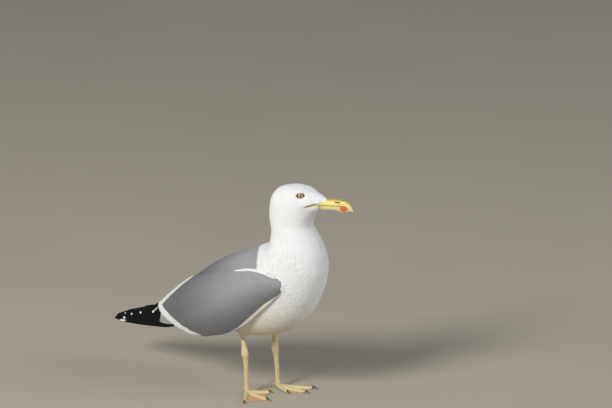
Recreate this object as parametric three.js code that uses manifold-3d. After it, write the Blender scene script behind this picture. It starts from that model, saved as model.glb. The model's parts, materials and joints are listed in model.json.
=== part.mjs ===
// A yellow-legged gull standing on both feet, its head turned a little to its left.
// Millimetres, +Z up, bill towards +X, the bird's right side towards -Y.
// Heights are above the floor, and the stations' x and y are measured from between the heels.
import * as THREE from "three";
import { mergeVertices } from "three/addons/utils/BufferGeometryUtils.js";
import Module from "manifold-3d";

const wasm = await Module();
wasm.setup();

// Driving dimensions.
const GAP = 0.3;
const HEAD_PIVOT_X = 70;
const HEAD_TURN = THREE.MathUtils.degToRad(15);
const EYE = { ahead: 17.3, out: 15, height: 350.3, radius: 8.4 };
const WING_THICKNESS = 6;
const TERTIAL_THICKNESS = 2.6;
const PRIMARY_THICKNESS = 2.4;
const FOOT_JOINT_HEIGHT = 7;
const FEATHERED_TO = 95;
const WEB_THICKNESS = 1.5;
const TOE_RADIUS = 3.1;
const CLAW_LENGTH = 8;
// Where along the body, from 0 at the tail to 1 at the face, the head grows square, and how much.
const BROW_START = 0.72;
const BROW_END = 0.8;
const BROW_SQUARENESS = 0.3;
// A wing's face below its widest height: its reach against the part above, and its arch.
const FOOT_REACH = 1.25;
const FOOT_ARCH = 2.6;
const STEEPEST = 0.999;
// How square the edges of a wing, of the tail and of a mandible are: 1 is round.
const WING_EDGE = 0.4;
const TAIL_EDGE = 0.5;
const BILL_ARCH = 0.85;
const TAIL_DROOP = 0.006;
// A web spans this share of the way out to the middle between two toe tips, and of each toe.
const WEB_DRAWN_IN = 0.8;
const WEB_SHARE = 0.86;

// Body rings, tail end first. back and front are [x, z] on the ridge and on the underside,
// wide is half the width, and turn is how much of the head's turn the ring takes.
const BODY_RINGS = [
  { back: [-188, 126], front: [-188, 124], wide: 0.6, turn: 0 },
  { back: [-180, 140], front: [-178, 112], wide: 11, turn: 0 },
  { back: [-160, 157], front: [-158, 103], wide: 20, turn: 0 },
  { back: [-134, 180], front: [-124, 99], wide: 33, turn: 0 },
  { back: [-104, 202], front: [-85, 97], wide: 46, turn: 0 },
  { back: [-71, 221.5], front: [-42, 96.5], wide: 55, turn: 0 },
  { back: [-39, 236], front: [3, 99.5], wide: 58.5, turn: 0 },
  { back: [-9, 248], front: [46, 111], wide: 59, turn: 0 },
  { back: [12, 257.5], front: [84, 136], wide: 58.5, turn: 0 },
  { back: [26.5, 264.5], front: [111, 176], wide: 56, turn: 0 },
  { back: [32.5, 275], front: [123.5, 213], wide: 52, turn: 0 },
  { back: [32.7, 286], front: [124, 243], wide: 46, turn: 0.1 },
  { back: [31, 293.5], front: [115.5, 269], wide: 40.5, turn: 0.35 },
  { back: [29, 301], front: [104.5, 288], wide: 37, turn: 0.7 },
  { back: [27.3, 312], front: [99.5, 301], wide: 34, turn: 0.95 },
  { back: [27.3, 328], front: [102.5, 311], wide: 32, turn: 1 },
  { back: [31.3, 344.8], front: [106.5, 317.5], wide: 30.5, turn: 1 },
  { back: [42.6, 357.8], front: [109, 321], wide: 29, turn: 1 },
  { back: [62, 363.7], front: [111, 323.5], wide: 27, turn: 1 },
  { back: [79.5, 364.2], front: [113, 325.5], wide: 24.6, turn: 1 },
  { back: [96, 360.2], front: [114.5, 327], wide: 19.8, turn: 1 },
  { back: [110, 354.2], front: [116.5, 328], wide: 14.3, turn: 1 },
  { back: [121, 348.9], front: [119.5, 329.5], wide: 9.3, turn: 1 },
  { back: [124, 340.5], front: [123.5, 338], wide: 0.8, turn: 1 },
];

// Wing sections, bend first. top and foot are the edges' heights. The outer face lies on an arch
// whose half width is wide, whose widest height is mid and whose crown is at crown.
const WING_SECTIONS = [
  { x: 88, top: 209, foot: 206, wide: 52.5, mid: 206, crown: 310, arch: 2 },
  { x: 84.5, top: 216, foot: 197, wide: 55.8, mid: 207, crown: 285, arch: 2 },
  { x: 73, top: 222.5, foot: 184, wide: 60.3, mid: 207.5, crown: 270, arch: 2 },
  { x: 50, top: 228, foot: 163, wide: 65.4, mid: 201.5, crown: 263.5, arch: 2 },
  { x: 20, top: 226.5, foot: 137, wide: 68.5, mid: 186.5, crown: 250.5, arch: 2 },
  { x: -14, top: 217.5, foot: 114.5, wide: 70, mid: 172, crown: 239.5, arch: 2 },
  { x: -54, top: 204.5, foot: 99.5, wide: 68.5, mid: 157.5, crown: 223, arch: 2 },
  { x: -94, top: 194, foot: 90.3, wide: 64, mid: 145, crown: 205.5, arch: 1.95 },
  { x: -128, top: 183, foot: 91.8, wide: 57.5, mid: 135.5, crown: 187.5, arch: 1.8 },
  { x: -158, top: 166.5, foot: 99, wide: 49.5, mid: 127, crown: 168, arch: 1.6 },
  { x: -187, top: 144.5, foot: 108.5, wide: 38.5, mid: 119.5, crown: 145.6, arch: 1.5 },
  { x: -203, top: 130, foot: 115.8, wide: 27.5, mid: 116.5, crown: 131.5, arch: 1.5 },
  { x: -210, top: 122.5, foot: 119.5, wide: 20, mid: 116.5, crown: 124.5, arch: 1.5 },
];

// The folded primaries, from under the tertials to the tip, on an arch of the same kind.
const PRIMARY_SECTIONS = [
  { x: -140, top: 104, foot: 100, wide: 44, mid: 104, crown: 140, arch: 1.8 },
  { x: -150, top: 116, foot: 95, wide: 41, mid: 104, crown: 148, arch: 1.8 },
  { x: -182, top: 126, foot: 84, wide: 34, mid: 97, crown: 141, arch: 1.7 },
  { x: -214, top: 117.5, foot: 79, wide: 30, mid: 90, crown: 129, arch: 1.7 },
  { x: -245, top: 106, foot: 74.5, wide: 25.5, mid: 83, crown: 112, arch: 1.8 },
  { x: -276, top: 94.5, foot: 69.8, wide: 20, mid: 77, crown: 99, arch: 1.8 },
  { x: -302, top: 84.5, foot: 64.4, wide: 15, mid: 72, crown: 90, arch: 1.8 },
  { x: -312, top: 79, foot: 62, wide: 12.7, mid: 70, crown: 86, arch: 1.8 },
  { x: -318, top: 70.5, foot: 62.8, wide: 11.3, mid: 68, crown: 80, arch: 1.8 },
];

// Tail sections, root first: the middle's height, half the width and half the thickness.
const TAIL_SECTIONS = [
  { x: -166, height: 126, wide: 13, thick: 4 },
  { x: -172, height: 124.5, wide: 15, thick: 4.6 },
  { x: -200, height: 113, wide: 17.5, thick: 3.4 },
  { x: -230, height: 98.5, wide: 18.5, thick: 2 },
  { x: -252, height: 88, wide: 18.8, thick: 1.1 },
  { x: -258, height: 85.4, wide: 17.5, thick: 0.9 },
];

// Mandible rings. ridge and edge are [distance ahead of the pivot, z]; wide is half the width.
const UPPER_BILL_RINGS = [
  { ridge: [36, 343], edge: [36, 340], wide: 1 },
  { ridge: [38, 347.5], edge: [38, 338], wide: 7.6 },
  { ridge: [50, 347.8], edge: [50, 337.4], wide: 8 },
  { ridge: [60, 348.2], edge: [60, 337.5], wide: 7.2 },
  { ridge: [72, 348.6], edge: [72, 338], wide: 6.1 },
  { ridge: [83, 348.5], edge: [83, 338.9], wide: 5.4 },
  { ridge: [91.5, 347.1], edge: [90.5, 338.4], wide: 4.8 },
  { ridge: [97.6, 343.4], edge: [95.5, 336], wide: 4 },
  { ridge: [101.4, 338.4], edge: [99.2, 333], wide: 2.9 },
  { ridge: [103.4, 333.2], edge: [101.6, 330.8], wide: 1.6 },
  { ridge: [103.7, 330.2], edge: [103.2, 329.8], wide: 0.5 },
];
const LOWER_BILL_RINGS = [
  { ridge: [38, 330], edge: [38, 333], wide: 1 },
  { ridge: [40, 328.3], edge: [40, 337.2], wide: 7.4 },
  { ridge: [52, 327.9], edge: [52, 337.1], wide: 7 },
  { ridge: [64, 329], edge: [64, 337.4], wide: 6 },
  { ridge: [76, 328.9], edge: [76, 338.1], wide: 5.2 },
  { ridge: [87, 327.1], edge: [88, 338], wide: 4.5 },
  { ridge: [93.5, 328.4], edge: [93.5, 335.6], wide: 3.5 },
  { ridge: [97.5, 330.1], edge: [97, 333.2], wide: 2 },
  { ridge: [99.3, 331.2], edge: [99, 332], wide: 0.5 },
];

// Legs. Toe headings are in degrees to the bird's left of straight ahead.
const LEGS = [
  {
    side: "right",
    knee: [-22, -25, 118],
    ankle: [-14.5, -27, 70],
    joint: [-15, -22],
    toes: [
      { heading: -54, length: 60 },
      { heading: -9, length: 59 },
      { heading: 44, length: 44 },
    ],
    hind: 170,
  },
  {
    side: "left",
    knee: [3, 28, 118],
    ankle: [2, 30, 68],
    joint: [2, 37],
    toes: [
      { heading: 31, length: 66 },
      { heading: 5, length: 64 },
      { heading: -24, length: 43 },
    ],
    hind: 195,
  },
];

const WHITE_PLUMAGE = { color: 0xf2f2ef, roughness: 0.85, metalness: 0 };
const GREY_PLUMAGE = { color: 0x8b8d92, roughness: 0.8, metalness: 0 };
const BLACK_PLUMAGE = { color: 0x17171a, roughness: 0.7, metalness: 0 };
const HORN_YELLOW = { color: 0xe8bd3a, roughness: 0.4, metalness: 0 };
const LEG_YELLOW = { color: 0xd9bd63, roughness: 0.6, metalness: 0 };
const IRIS = { color: 0xd8b873, roughness: 0.1, metalness: 0 };

// A closed surface from a sphere's grid: place(t, angle) gives the point, t from 0 to 1 between
// the poles and angle from 0 to 2 pi around. The faces are turned outwards if they point inwards.
function grid(around, lengthwise, place) {
  const geometry = new THREE.SphereGeometry(1, around, lengthwise);
  const position = geometry.getAttribute("position");
  for (let k = 0; k < position.count; k += 1) {
    const t = Math.floor(k / (around + 1)) / lengthwise;
    const turn = ((k % (around + 1)) % around) / around;
    const pole = t === 0 || t === 1;
    position.setXYZ(k, ...place(t, pole ? 0 : 2 * Math.PI * turn, pole));
  }
  return geometry;
}

function solidOf(geometry) {
  const bare = geometry.clone();
  bare.deleteAttribute("normal");
  bare.deleteAttribute("uv");
  const merged = mergeVertices(bare, 1e-4);
  const index = Array.from(merged.index.array);
  const corners = merged.getAttribute("position").array;
  const faces = [];
  let volume = 0;
  for (let i = 0; i < index.length; i += 3) {
    const [a, b, c] = index.slice(i, i + 3);
    if (a === b || b === c || c === a) continue;
    faces.push([a, b, c]);
    const [p, q, r] = [a, b, c].map((n) => new THREE.Vector3().fromArray(corners, 3 * n));
    volume += p.dot(q.cross(r));
  }
  const outward = volume < 0 ? faces.map(([a, b, c]) => [a, c, b]) : faces;
  return new wasm.Manifold(
    new wasm.Mesh({
      numProp: 3,
      vertProperties: new Float32Array(corners),
      triVerts: new Uint32Array(outward.flat()),
    }),
  );
}

function meshOf(name, solid, finish) {
  const made = solid.getMesh();
  const geometry = new THREE.BufferGeometry();
  const corners = new THREE.BufferAttribute(made.vertProperties, made.numProp);
  geometry.setAttribute("position", corners);
  geometry.setIndex(new THREE.BufferAttribute(made.triVerts, 1));
  geometry.computeVertexNormals();
  const mesh = new THREE.Mesh(geometry, new THREE.MeshStandardMaterial(finish));
  mesh.name = name;
  return mesh;
}

// A smooth curve through one value triple for each station.
function through(stations, triple) {
  return new THREE.CatmullRomCurve3(
    stations.map((s) => new THREE.Vector3(...triple(s))),
    false,
    "centripetal",
  );
}

function turned(x, y, z, share) {
  const angle = HEAD_TURN * share;
  const ahead = x - HEAD_PIVOT_X;
  return [
    HEAD_PIVOT_X + ahead * Math.cos(angle) - y * Math.sin(angle),
    ahead * Math.sin(angle) + y * Math.cos(angle),
    z,
  ];
}

// A sine or cosine with its corners drawn out: a power of 1 is round, less is squarer.
function squared(value, power) {
  return Math.sign(value) * Math.abs(value) ** power;
}

// The whole body from the rump to the face as one closed surface.
function bodySolid() {
  const backs = through(BODY_RINGS, (s) => [s.back[0], s.wide, s.back[1]]);
  const fronts = through(BODY_RINGS, (s) => [s.front[0], s.turn, s.front[1]]);
  return solidOf(
    grid(20, 44, (t, angle, pole) => {
      const back = backs.getPoint(t);
      const front = fronts.getPoint(t);
      const up = pole ? 0 : Math.cos(angle);
      const x = (back.x + front.x) / 2 + ((back.x - front.x) / 2) * up;
      const z = (back.z + front.z) / 2 + ((back.z - front.z) / 2) * up;
      const brow = THREE.MathUtils.clamp((t - BROW_START) / (BROW_END - BROW_START), 0, 1);
      const out = pole ? 0 : back.y * squared(Math.sin(angle), 1 - BROW_SQUARENESS * brow);
      return turned(x, out, z, front.y);
    }),
  );
}

// How far out from the middle plane a wing's outer face is at a height.
function archOut(section, z) {
  const high = z > section.mid;
  const span = (high ? 1 : FOOT_REACH) * (section.crown - section.mid);
  const share = Math.min(Math.abs(z - section.mid) / span, STEEPEST);
  const power = high ? section.arch : FOOT_ARCH;
  return section.wide * (1 - share ** power) ** (1 / power);
}

// A shell between its sections' top and foot edges. grown swells it all round.
function shellSolid(sections, thickness, side, around, lengthwise, grown) {
  const edges = through(sections, (s) => [s.x, s.top, s.foot]);
  const arches = through(sections, (s) => [s.wide, s.mid, s.crown]);
  const shapes = through(sections, (s) => [s.arch, 0, s.x]);
  return solidOf(
    grid(around, lengthwise, (t, angle, pole) => {
      const edge = edges.getPoint(t);
      const arch = arches.getPoint(t);
      const section = {
        wide: arch.x,
        mid: arch.y,
        crown: arch.z,
        arch: shapes.getPoint(t).x,
      };
      const half = (edge.y - edge.z) / 2 + grown;
      const z = (edge.y + edge.z) / 2 + half * (pole ? 0 : Math.cos(angle));
      const blunt = pole ? 0 : squared(Math.sin(angle), WING_EDGE);
      const depth = thickness(t) / 2 + grown;
      const middle = archOut(section, z) - thickness(t) / 2;
      const x = edge.x + (t === 0 ? grown : 0) - (t === 1 ? grown : 0);
      return [x, side * (middle + depth * blunt), z];
    }),
  );
}

function wingSolid(side, grown) {
  const thickness = (t) => {
    const front = Math.min(1, 0.35 + 4 * t);
    return front * THREE.MathUtils.lerp(WING_THICKNESS, TERTIAL_THICKNESS, Math.min(1, 1.5 * t));
  };
  return shellSolid(WING_SECTIONS, thickness, side, 14, 20, grown);
}

function primarySolid(side, grown) {
  const thickness = (t) => THREE.MathUtils.lerp(PRIMARY_THICKNESS, 1, t);
  return shellSolid(PRIMARY_SECTIONS, thickness, side, 10, 13, grown);
}

function tailSolid(grown) {
  const middles = through(TAIL_SECTIONS, (s) => [s.x, s.height, s.wide]);
  const depths = through(TAIL_SECTIONS, (s) => [s.thick, 0, s.x]);
  return solidOf(
    grid(14, 9, (t, angle, pole) => {
      const middle = middles.getPoint(t);
      const out = pole ? 0 : (middle.z + grown) * Math.cos(angle);
      const lift = pole ? 0 : squared(Math.sin(angle), TAIL_EDGE);
      const z = middle.y - TAIL_DROOP * out * out + (depths.getPoint(t).x + grown) * lift;
      return [middle.x, out, z];
    }),
  );
}

// A mandible: rounded on the side of its ridge and flat along its cutting edge.
function billSolid(rings, grown) {
  const ridges = through(rings, (s) => [s.ridge[0], s.wide, s.ridge[1]]);
  const edges = through(rings, (s) => [s.edge[0], 0, s.edge[1]]);
  return solidOf(
    grid(12, 18, (t, angle, pole) => {
      const ridge = ridges.getPoint(t);
      const edge = edges.getPoint(t);
      const rise = Math.max(pole ? 0.5 : Math.cos(angle), 0) ** BILL_ARCH;
      const ahead = edge.x + (ridge.x - edge.x) * rise;
      const swell = grown * (Math.cos(angle) > 0.1 ? 1 : -1) * Math.sign(ridge.z - edge.z);
      const z = edge.z + (ridge.z - edge.z) * rise + (pole ? 0 : swell);
      const out = pole ? 0 : (ridge.y + grown) * Math.sin(angle);
      const reach = (t === 0 ? -grown : 0) + (t === 1 ? grown : 0);
      return turned(HEAD_PIVOT_X + ahead + reach, out, z, 1);
    }),
  );
}

function ballSolid(side, radius) {
  const ball = new THREE.SphereGeometry(radius, 14, 10);
  ball.rotateX(Math.PI / 2);
  const at = turned(HEAD_PIVOT_X + EYE.ahead, side * EYE.out, EYE.height, 1);
  ball.translate(...at);
  return solidOf(ball);
}

// A rounded limb along a curve: radii holds [fore and aft, sideways] at each of its points.
function limbSolid(points, radii, around, lengthwise, grown = 0) {
  const path = through(points, (p) => p);
  const sizes = through(radii, (r) => [r[0], r[1], 0]);
  const sideways = new THREE.Vector3();
  const forward = new THREE.Vector3();
  return solidOf(
    grid(around, lengthwise, (t, angle, pole) => {
      const at = path.getPoint(t);
      const heading = path.getTangent(t);
      const level = Math.abs(heading.z) < 0.75;
      forward.set(level ? 0 : 1, 0, level ? 1 : 0);
      sideways.crossVectors(heading, forward).normalize();
      forward.crossVectors(sideways, heading).normalize();
      const size = sizes.getPoint(t);
      const cap = pole ? 0 : 1;
      at.addScaledVector(forward, cap * (size.x + grown) * Math.cos(angle));
      at.addScaledVector(sideways, cap * (size.y + grown) * Math.sin(angle));
      return at.toArray();
    }),
  );
}

function blockSolid(width, depth, height, x, y, z) {
  const block = new THREE.BoxGeometry(width, depth, height);
  block.translate(x, y, z);
  return solidOf(block);
}

function largest(solid) {
  return solid.decompose().sort((a, b) => b.volume() - a.volume())[0];
}

// Everything of the body above or below a slab's middle plane.
function halfOf(solid, x, z, tilt, upper) {
  const size = 900;
  const half = new THREE.BoxGeometry(size, size, size);
  half.translate(0, 0, (upper ? 1 : -1) * (size / 2 + GAP / 2));
  half.rotateY(tilt);
  half.translate(x, 0, z);
  return solid.intersect(solidOf(half));
}

function toeTip(leg, toe, reach) {
  const heading = THREE.MathUtils.degToRad(toe.heading);
  return [
    leg.joint[0] + reach * Math.cos(heading),
    leg.joint[1] + reach * Math.sin(heading),
  ];
}

function toeSolid(leg, toe) {
  const at = (share, height) => [...toeTip(leg, toe, share * toe.length), height];
  const points = [
    at(-0.06, 4.2),
    at(-0.02, 4.2),
    at(0.16, 3.2),
    at(0.5, 2.6),
    at(0.8, 2.3),
    at(0.86, 2.2),
  ];
  const wide = [1, 4.3, TOE_RADIUS + 0.3, TOE_RADIUS - 0.1, TOE_RADIUS - 0.4, 1];
  return limbSolid(
    points,
    wide.map((w) => [w, w]),
    7,
    8,
  );
}

function clawSolid(leg, toe) {
  const start = toe.length - CLAW_LENGTH - 3;
  const at = (reach, height) => [...toeTip(leg, toe, reach), height];
  const points = [
    at(start, 3),
    at(start + 1, 3),
    at(start + 0.55 * CLAW_LENGTH, 3.3),
    at(toe.length - 1, 1.4),
    at(toe.length, 0.5),
  ];
  const sizes = [
    [0.6, 0.6],
    [1.9, 1.6],
    [1.7, 1.4],
    [0.8, 0.8],
    [0.3, 0.3],
  ];
  return limbSolid(points, sizes, 6, 6);
}

// The hind toe: short, set a little above the sole, with its own small claw.
function hindSolid(leg) {
  const heading = THREE.MathUtils.degToRad(leg.hind);
  const at = (reach, height) => [
    leg.joint[0] + reach * Math.cos(heading),
    leg.joint[1] + reach * Math.sin(heading),
    height,
  ];
  const points = [at(-1, 6), at(0, 6), at(5, 5.6), at(10, 4.2), at(13, 2.2)];
  const sizes = [
    [0.8, 0.8],
    [2, 2],
    [1.9, 1.9],
    [1.5, 1.4],
    [0.4, 0.4],
  ];
  return limbSolid(points, sizes, 6, 6);
}

// The web between the toes, its front edges drawn in between the tips.
function webSolid(leg) {
  const tips = leg.toes.map((toe) => toeTip(leg, toe, WEB_SHARE * toe.length));
  const [outer, middle, inner] = tips;
  const bow = (a, b) => [0, 1].map((k) => {
    const between = (a[k] + b[k]) / 2;
    return leg.joint[k] + WEB_DRAWN_IN * (between - leg.joint[k]);
  });
  const outline = new THREE.Shape();
  outline.moveTo(...leg.joint);
  outline.lineTo(...outer);
  outline.quadraticCurveTo(...bow(outer, middle), ...middle);
  outline.quadraticCurveTo(...bow(middle, inner), ...inner);
  outline.closePath();
  const web = new THREE.ExtrudeGeometry(outline, {
    depth: WEB_THICKNESS,
    bevelEnabled: false,
    curveSegments: 5,
  });
  return solidOf(web);
}

function footSolid(leg) {
  const pieces = leg.toes.flatMap((toe) => [toeSolid(leg, toe), clawSolid(leg, toe)]);
  const joined = [...pieces, hindSolid(leg), webSolid(leg)].reduce((a, b) => a.add(b));
  const under = blockSolid(260, 260, 20, leg.joint[0], leg.joint[1], -10);
  const over = blockSolid(60, 60, 20, leg.joint[0], leg.joint[1], FOOT_JOINT_HEIGHT + 10);
  return joined.subtract(under).subtract(over);
}

// The bare leg: the lower shin, the knobbly ankle and the long foot bone down to the toes.
function legSolid(leg) {
  const [kx, ky, kz] = leg.knee;
  const [ax, ay, az] = leg.ankle;
  const [jx, jy] = leg.joint;
  const share = (kz - FEATHERED_TO) / (kz - az);
  const shin = [kx + (ax - kx) * share, ky + (ay - ky) * share, FEATHERED_TO - GAP];
  const down = (part, bow) => [
    ax + (jx - ax) * part + bow,
    ay + (jy - ay) * part,
    az + (FOOT_JOINT_HEIGHT - az) * part,
  ];
  const points = [
    shin,
    [shin[0] - 0.4, shin[1], shin[2] - 1],
    [(shin[0] + ax) / 2, (shin[1] + ay) / 2, (shin[2] + az) / 2],
    [ax, ay, az],
    down(0.14, 0.8),
    down(0.5, 0.8),
    down(0.85, 0.3),
    down(0.98, 0),
    down(1, 0),
  ];
  const sizes = [
    [1.5, 1.5],
    [4.4, 3.8],
    [4.9, 4],
    [7, 5.6],
    [4.9, 4],
    [4, 3.3],
    [4.2, 3.6],
    [4.6, 4.4],
    [1.5, 1.5],
  ];
  const foot = blockSolid(60, 60, 20, jx, jy, FOOT_JOINT_HEIGHT - 10 + GAP);
  return limbSolid(points, sizes, 10, 20).subtract(foot);
}

// The feathered upper leg, from inside the flank to where the bare shin starts.
function thighSolid(leg, grown) {
  const [kx, ky, kz] = leg.knee;
  const [ax, ay, az] = leg.ankle;
  const at = (z, forward) => {
    const share = (kz - z) / (kz - az);
    return [kx + (ax - kx) * share + forward, ky + (ay - ky) * share, z];
  };
  const top = 128 + grown;
  const points = [at(top, 2), at(125, 2), at(112, 2), at(104, 1), at(98.5, 0), at(FEATHERED_TO, 0)];
  const sizes = [
    [3, 3],
    [24, 17],
    [18, 13],
    [10.5, 9],
    [6.4, 6],
    [4.8, 4.4],
  ];
  return limbSolid(points, sizes, 12, 10, grown);
}

// Build: one body, parted at the neck, with the wings, tail, bill and eyes let into it.
const SHOULDER_CUT = { x: 78, z: 262, tilt: THREE.MathUtils.degToRad(17) };
const THROAT_CUT = { x: 66, z: 304.5, tilt: THREE.MathUtils.degToRad(9) };

const body = bodySolid();
const head = halfOf(body, THROAT_CUT.x, THROAT_CUT.z, THROAT_CUT.tilt, true);
const lower = halfOf(body, THROAT_CUT.x, THROAT_CUT.z, THROAT_CUT.tilt, false);
const neck = halfOf(lower, SHOULDER_CUT.x, SHOULDER_CUT.z, SHOULDER_CUT.tilt, true);
const torso = halfOf(lower, SHOULDER_CUT.x, SHOULDER_CUT.z, SHOULDER_CUT.tilt, false);

const model = new THREE.Group();
const recess = [billSolid(UPPER_BILL_RINGS, GAP), billSolid(LOWER_BILL_RINGS, GAP)];
const sides = [
  { name: "right", sign: -1 },
  { name: "left", sign: 1 },
];
let face = recess.reduce((rest, cut) => rest.subtract(cut), head);
for (const { sign } of sides) {
  face = face.subtract(ballSolid(sign, EYE.radius + GAP));
}
let trunk = torso.subtract(tailSolid(GAP));
for (const { sign } of sides) {
  trunk = trunk.subtract(wingSolid(sign, GAP));
  trunk = trunk.subtract(primarySolid(sign, GAP));
}
model.add(meshOf("head", largest(face), WHITE_PLUMAGE));
model.add(meshOf("neck", largest(neck), WHITE_PLUMAGE));
const upperBill = billSolid(UPPER_BILL_RINGS, 0);
model.add(meshOf("bill_upper", upperBill, HORN_YELLOW));
const lowerBill = billSolid(LOWER_BILL_RINGS, 0).subtract(billSolid(UPPER_BILL_RINGS, GAP));
model.add(meshOf("bill_lower", largest(lowerBill), HORN_YELLOW));
model.add(meshOf("tail", tailSolid(0), WHITE_PLUMAGE));

for (const { name, sign } of sides) {
  const wing = wingSolid(sign, 0);
  const primaries = primarySolid(sign, 0).subtract(wingSolid(sign, GAP));
  model.add(meshOf(`wing_${name}`, wing, GREY_PLUMAGE));
  model.add(meshOf(`primaries_${name}`, largest(primaries), BLACK_PLUMAGE));
  model.add(meshOf(`eye_${name}`, ballSolid(sign, EYE.radius), IRIS));
}

for (const leg of LEGS) {
  trunk = trunk.subtract(thighSolid(leg, GAP));
  model.add(meshOf(`thigh_${leg.side}`, thighSolid(leg, 0), WHITE_PLUMAGE));
  const bare = legSolid(leg).subtract(thighSolid(leg, GAP));
  model.add(meshOf(`leg_${leg.side}`, largest(bare), LEG_YELLOW));
  model.add(meshOf(`foot_${leg.side}`, largest(footSolid(leg)), LEG_YELLOW));
}
model.add(meshOf("trunk", largest(trunk), WHITE_PLUMAGE));

// The part's origin is on the floor, under the middle of its box.
const box = new THREE.Box3().setFromObject(model);
const middle = box.getCenter(new THREE.Vector3());
model.position.set(-middle.x, -middle.y, 0);

export default model;
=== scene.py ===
"""A yellow-legged gull's plumage, bill, eyes, legs and feet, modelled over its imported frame."""
import sys
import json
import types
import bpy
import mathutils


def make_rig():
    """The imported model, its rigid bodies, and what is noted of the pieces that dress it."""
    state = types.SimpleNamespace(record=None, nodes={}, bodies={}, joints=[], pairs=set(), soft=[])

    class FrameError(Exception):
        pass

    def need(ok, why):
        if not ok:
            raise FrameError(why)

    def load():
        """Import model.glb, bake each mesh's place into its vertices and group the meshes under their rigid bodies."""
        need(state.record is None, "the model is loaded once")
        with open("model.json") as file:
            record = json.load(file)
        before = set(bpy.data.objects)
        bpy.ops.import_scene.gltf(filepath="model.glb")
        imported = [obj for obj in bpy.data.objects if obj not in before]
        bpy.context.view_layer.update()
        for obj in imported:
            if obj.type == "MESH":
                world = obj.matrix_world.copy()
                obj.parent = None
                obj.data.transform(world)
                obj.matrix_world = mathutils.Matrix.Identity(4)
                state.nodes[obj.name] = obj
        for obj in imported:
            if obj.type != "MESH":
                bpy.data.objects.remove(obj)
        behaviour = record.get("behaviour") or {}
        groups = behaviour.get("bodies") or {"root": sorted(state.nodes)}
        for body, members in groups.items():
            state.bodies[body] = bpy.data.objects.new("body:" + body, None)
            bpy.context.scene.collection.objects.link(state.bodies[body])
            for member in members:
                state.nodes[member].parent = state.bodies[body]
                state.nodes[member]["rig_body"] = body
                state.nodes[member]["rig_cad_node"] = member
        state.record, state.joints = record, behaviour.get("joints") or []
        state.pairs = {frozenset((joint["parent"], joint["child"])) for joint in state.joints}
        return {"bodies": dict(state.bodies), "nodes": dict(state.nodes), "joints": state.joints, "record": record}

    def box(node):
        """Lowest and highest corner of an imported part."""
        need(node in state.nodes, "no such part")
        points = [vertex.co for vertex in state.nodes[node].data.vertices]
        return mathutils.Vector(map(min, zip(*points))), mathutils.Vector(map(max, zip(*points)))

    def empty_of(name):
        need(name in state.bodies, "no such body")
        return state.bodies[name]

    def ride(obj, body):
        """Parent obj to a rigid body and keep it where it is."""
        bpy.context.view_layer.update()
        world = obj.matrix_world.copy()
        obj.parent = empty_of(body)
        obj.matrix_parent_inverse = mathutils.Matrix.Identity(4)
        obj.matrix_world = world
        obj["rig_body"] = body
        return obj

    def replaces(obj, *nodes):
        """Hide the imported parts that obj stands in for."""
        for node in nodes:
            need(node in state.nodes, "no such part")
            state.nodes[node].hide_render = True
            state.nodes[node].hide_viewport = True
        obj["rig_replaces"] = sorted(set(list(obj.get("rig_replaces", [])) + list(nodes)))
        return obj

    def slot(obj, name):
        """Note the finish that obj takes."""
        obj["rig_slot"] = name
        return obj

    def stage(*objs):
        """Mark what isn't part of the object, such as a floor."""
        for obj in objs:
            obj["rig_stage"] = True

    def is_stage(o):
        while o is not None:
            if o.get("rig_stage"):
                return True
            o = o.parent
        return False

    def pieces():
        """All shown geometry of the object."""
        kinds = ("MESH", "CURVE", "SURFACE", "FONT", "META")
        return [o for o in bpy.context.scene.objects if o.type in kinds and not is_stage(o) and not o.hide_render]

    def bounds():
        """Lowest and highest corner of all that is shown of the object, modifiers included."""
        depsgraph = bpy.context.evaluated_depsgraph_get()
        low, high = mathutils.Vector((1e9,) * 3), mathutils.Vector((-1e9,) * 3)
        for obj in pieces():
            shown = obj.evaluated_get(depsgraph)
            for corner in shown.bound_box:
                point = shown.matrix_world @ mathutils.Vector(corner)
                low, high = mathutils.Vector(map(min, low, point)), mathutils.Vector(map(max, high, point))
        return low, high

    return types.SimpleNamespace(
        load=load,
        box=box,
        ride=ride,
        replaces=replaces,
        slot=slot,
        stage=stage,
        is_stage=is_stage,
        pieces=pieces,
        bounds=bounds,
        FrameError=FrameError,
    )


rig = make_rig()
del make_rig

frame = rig.load()

import json
import math

import bpy
import numpy as np
from bpy.props import FloatProperty, FloatVectorProperty, PointerProperty
from mathutils import Vector
from mathutils.bvhtree import BVHTree
from mathutils.kdtree import KDTree

bl_info = {
    "name": "Yellow-legged gull",
    "version": (1, 0, 0),
    "blender": (4, 5, 0),
    "location": "View3D > Sidebar > Gull",
    "description": "Models a standing gull feather by feather over its frame",
    "category": "Object",
}

FRAME_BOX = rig.bounds()


def metres(rows, plain=0):
    """A table that is written in millimetres, apart from its last plain columns, in metres."""
    rows = np.array(rows, float)
    rows[:, :rows.shape[1] - plain] /= 1000
    return rows


# The head's turn and the eyes' place, as the frame has them, in metres.
HEAD_PIVOT = 0.070
HEAD_TURN = math.radians(15)
EYE_AHEAD = 0.0173
EYE_OUT = 0.0150
EYE_HEIGHT = 0.3503
EYE_RADIUS = 0.0084

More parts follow.
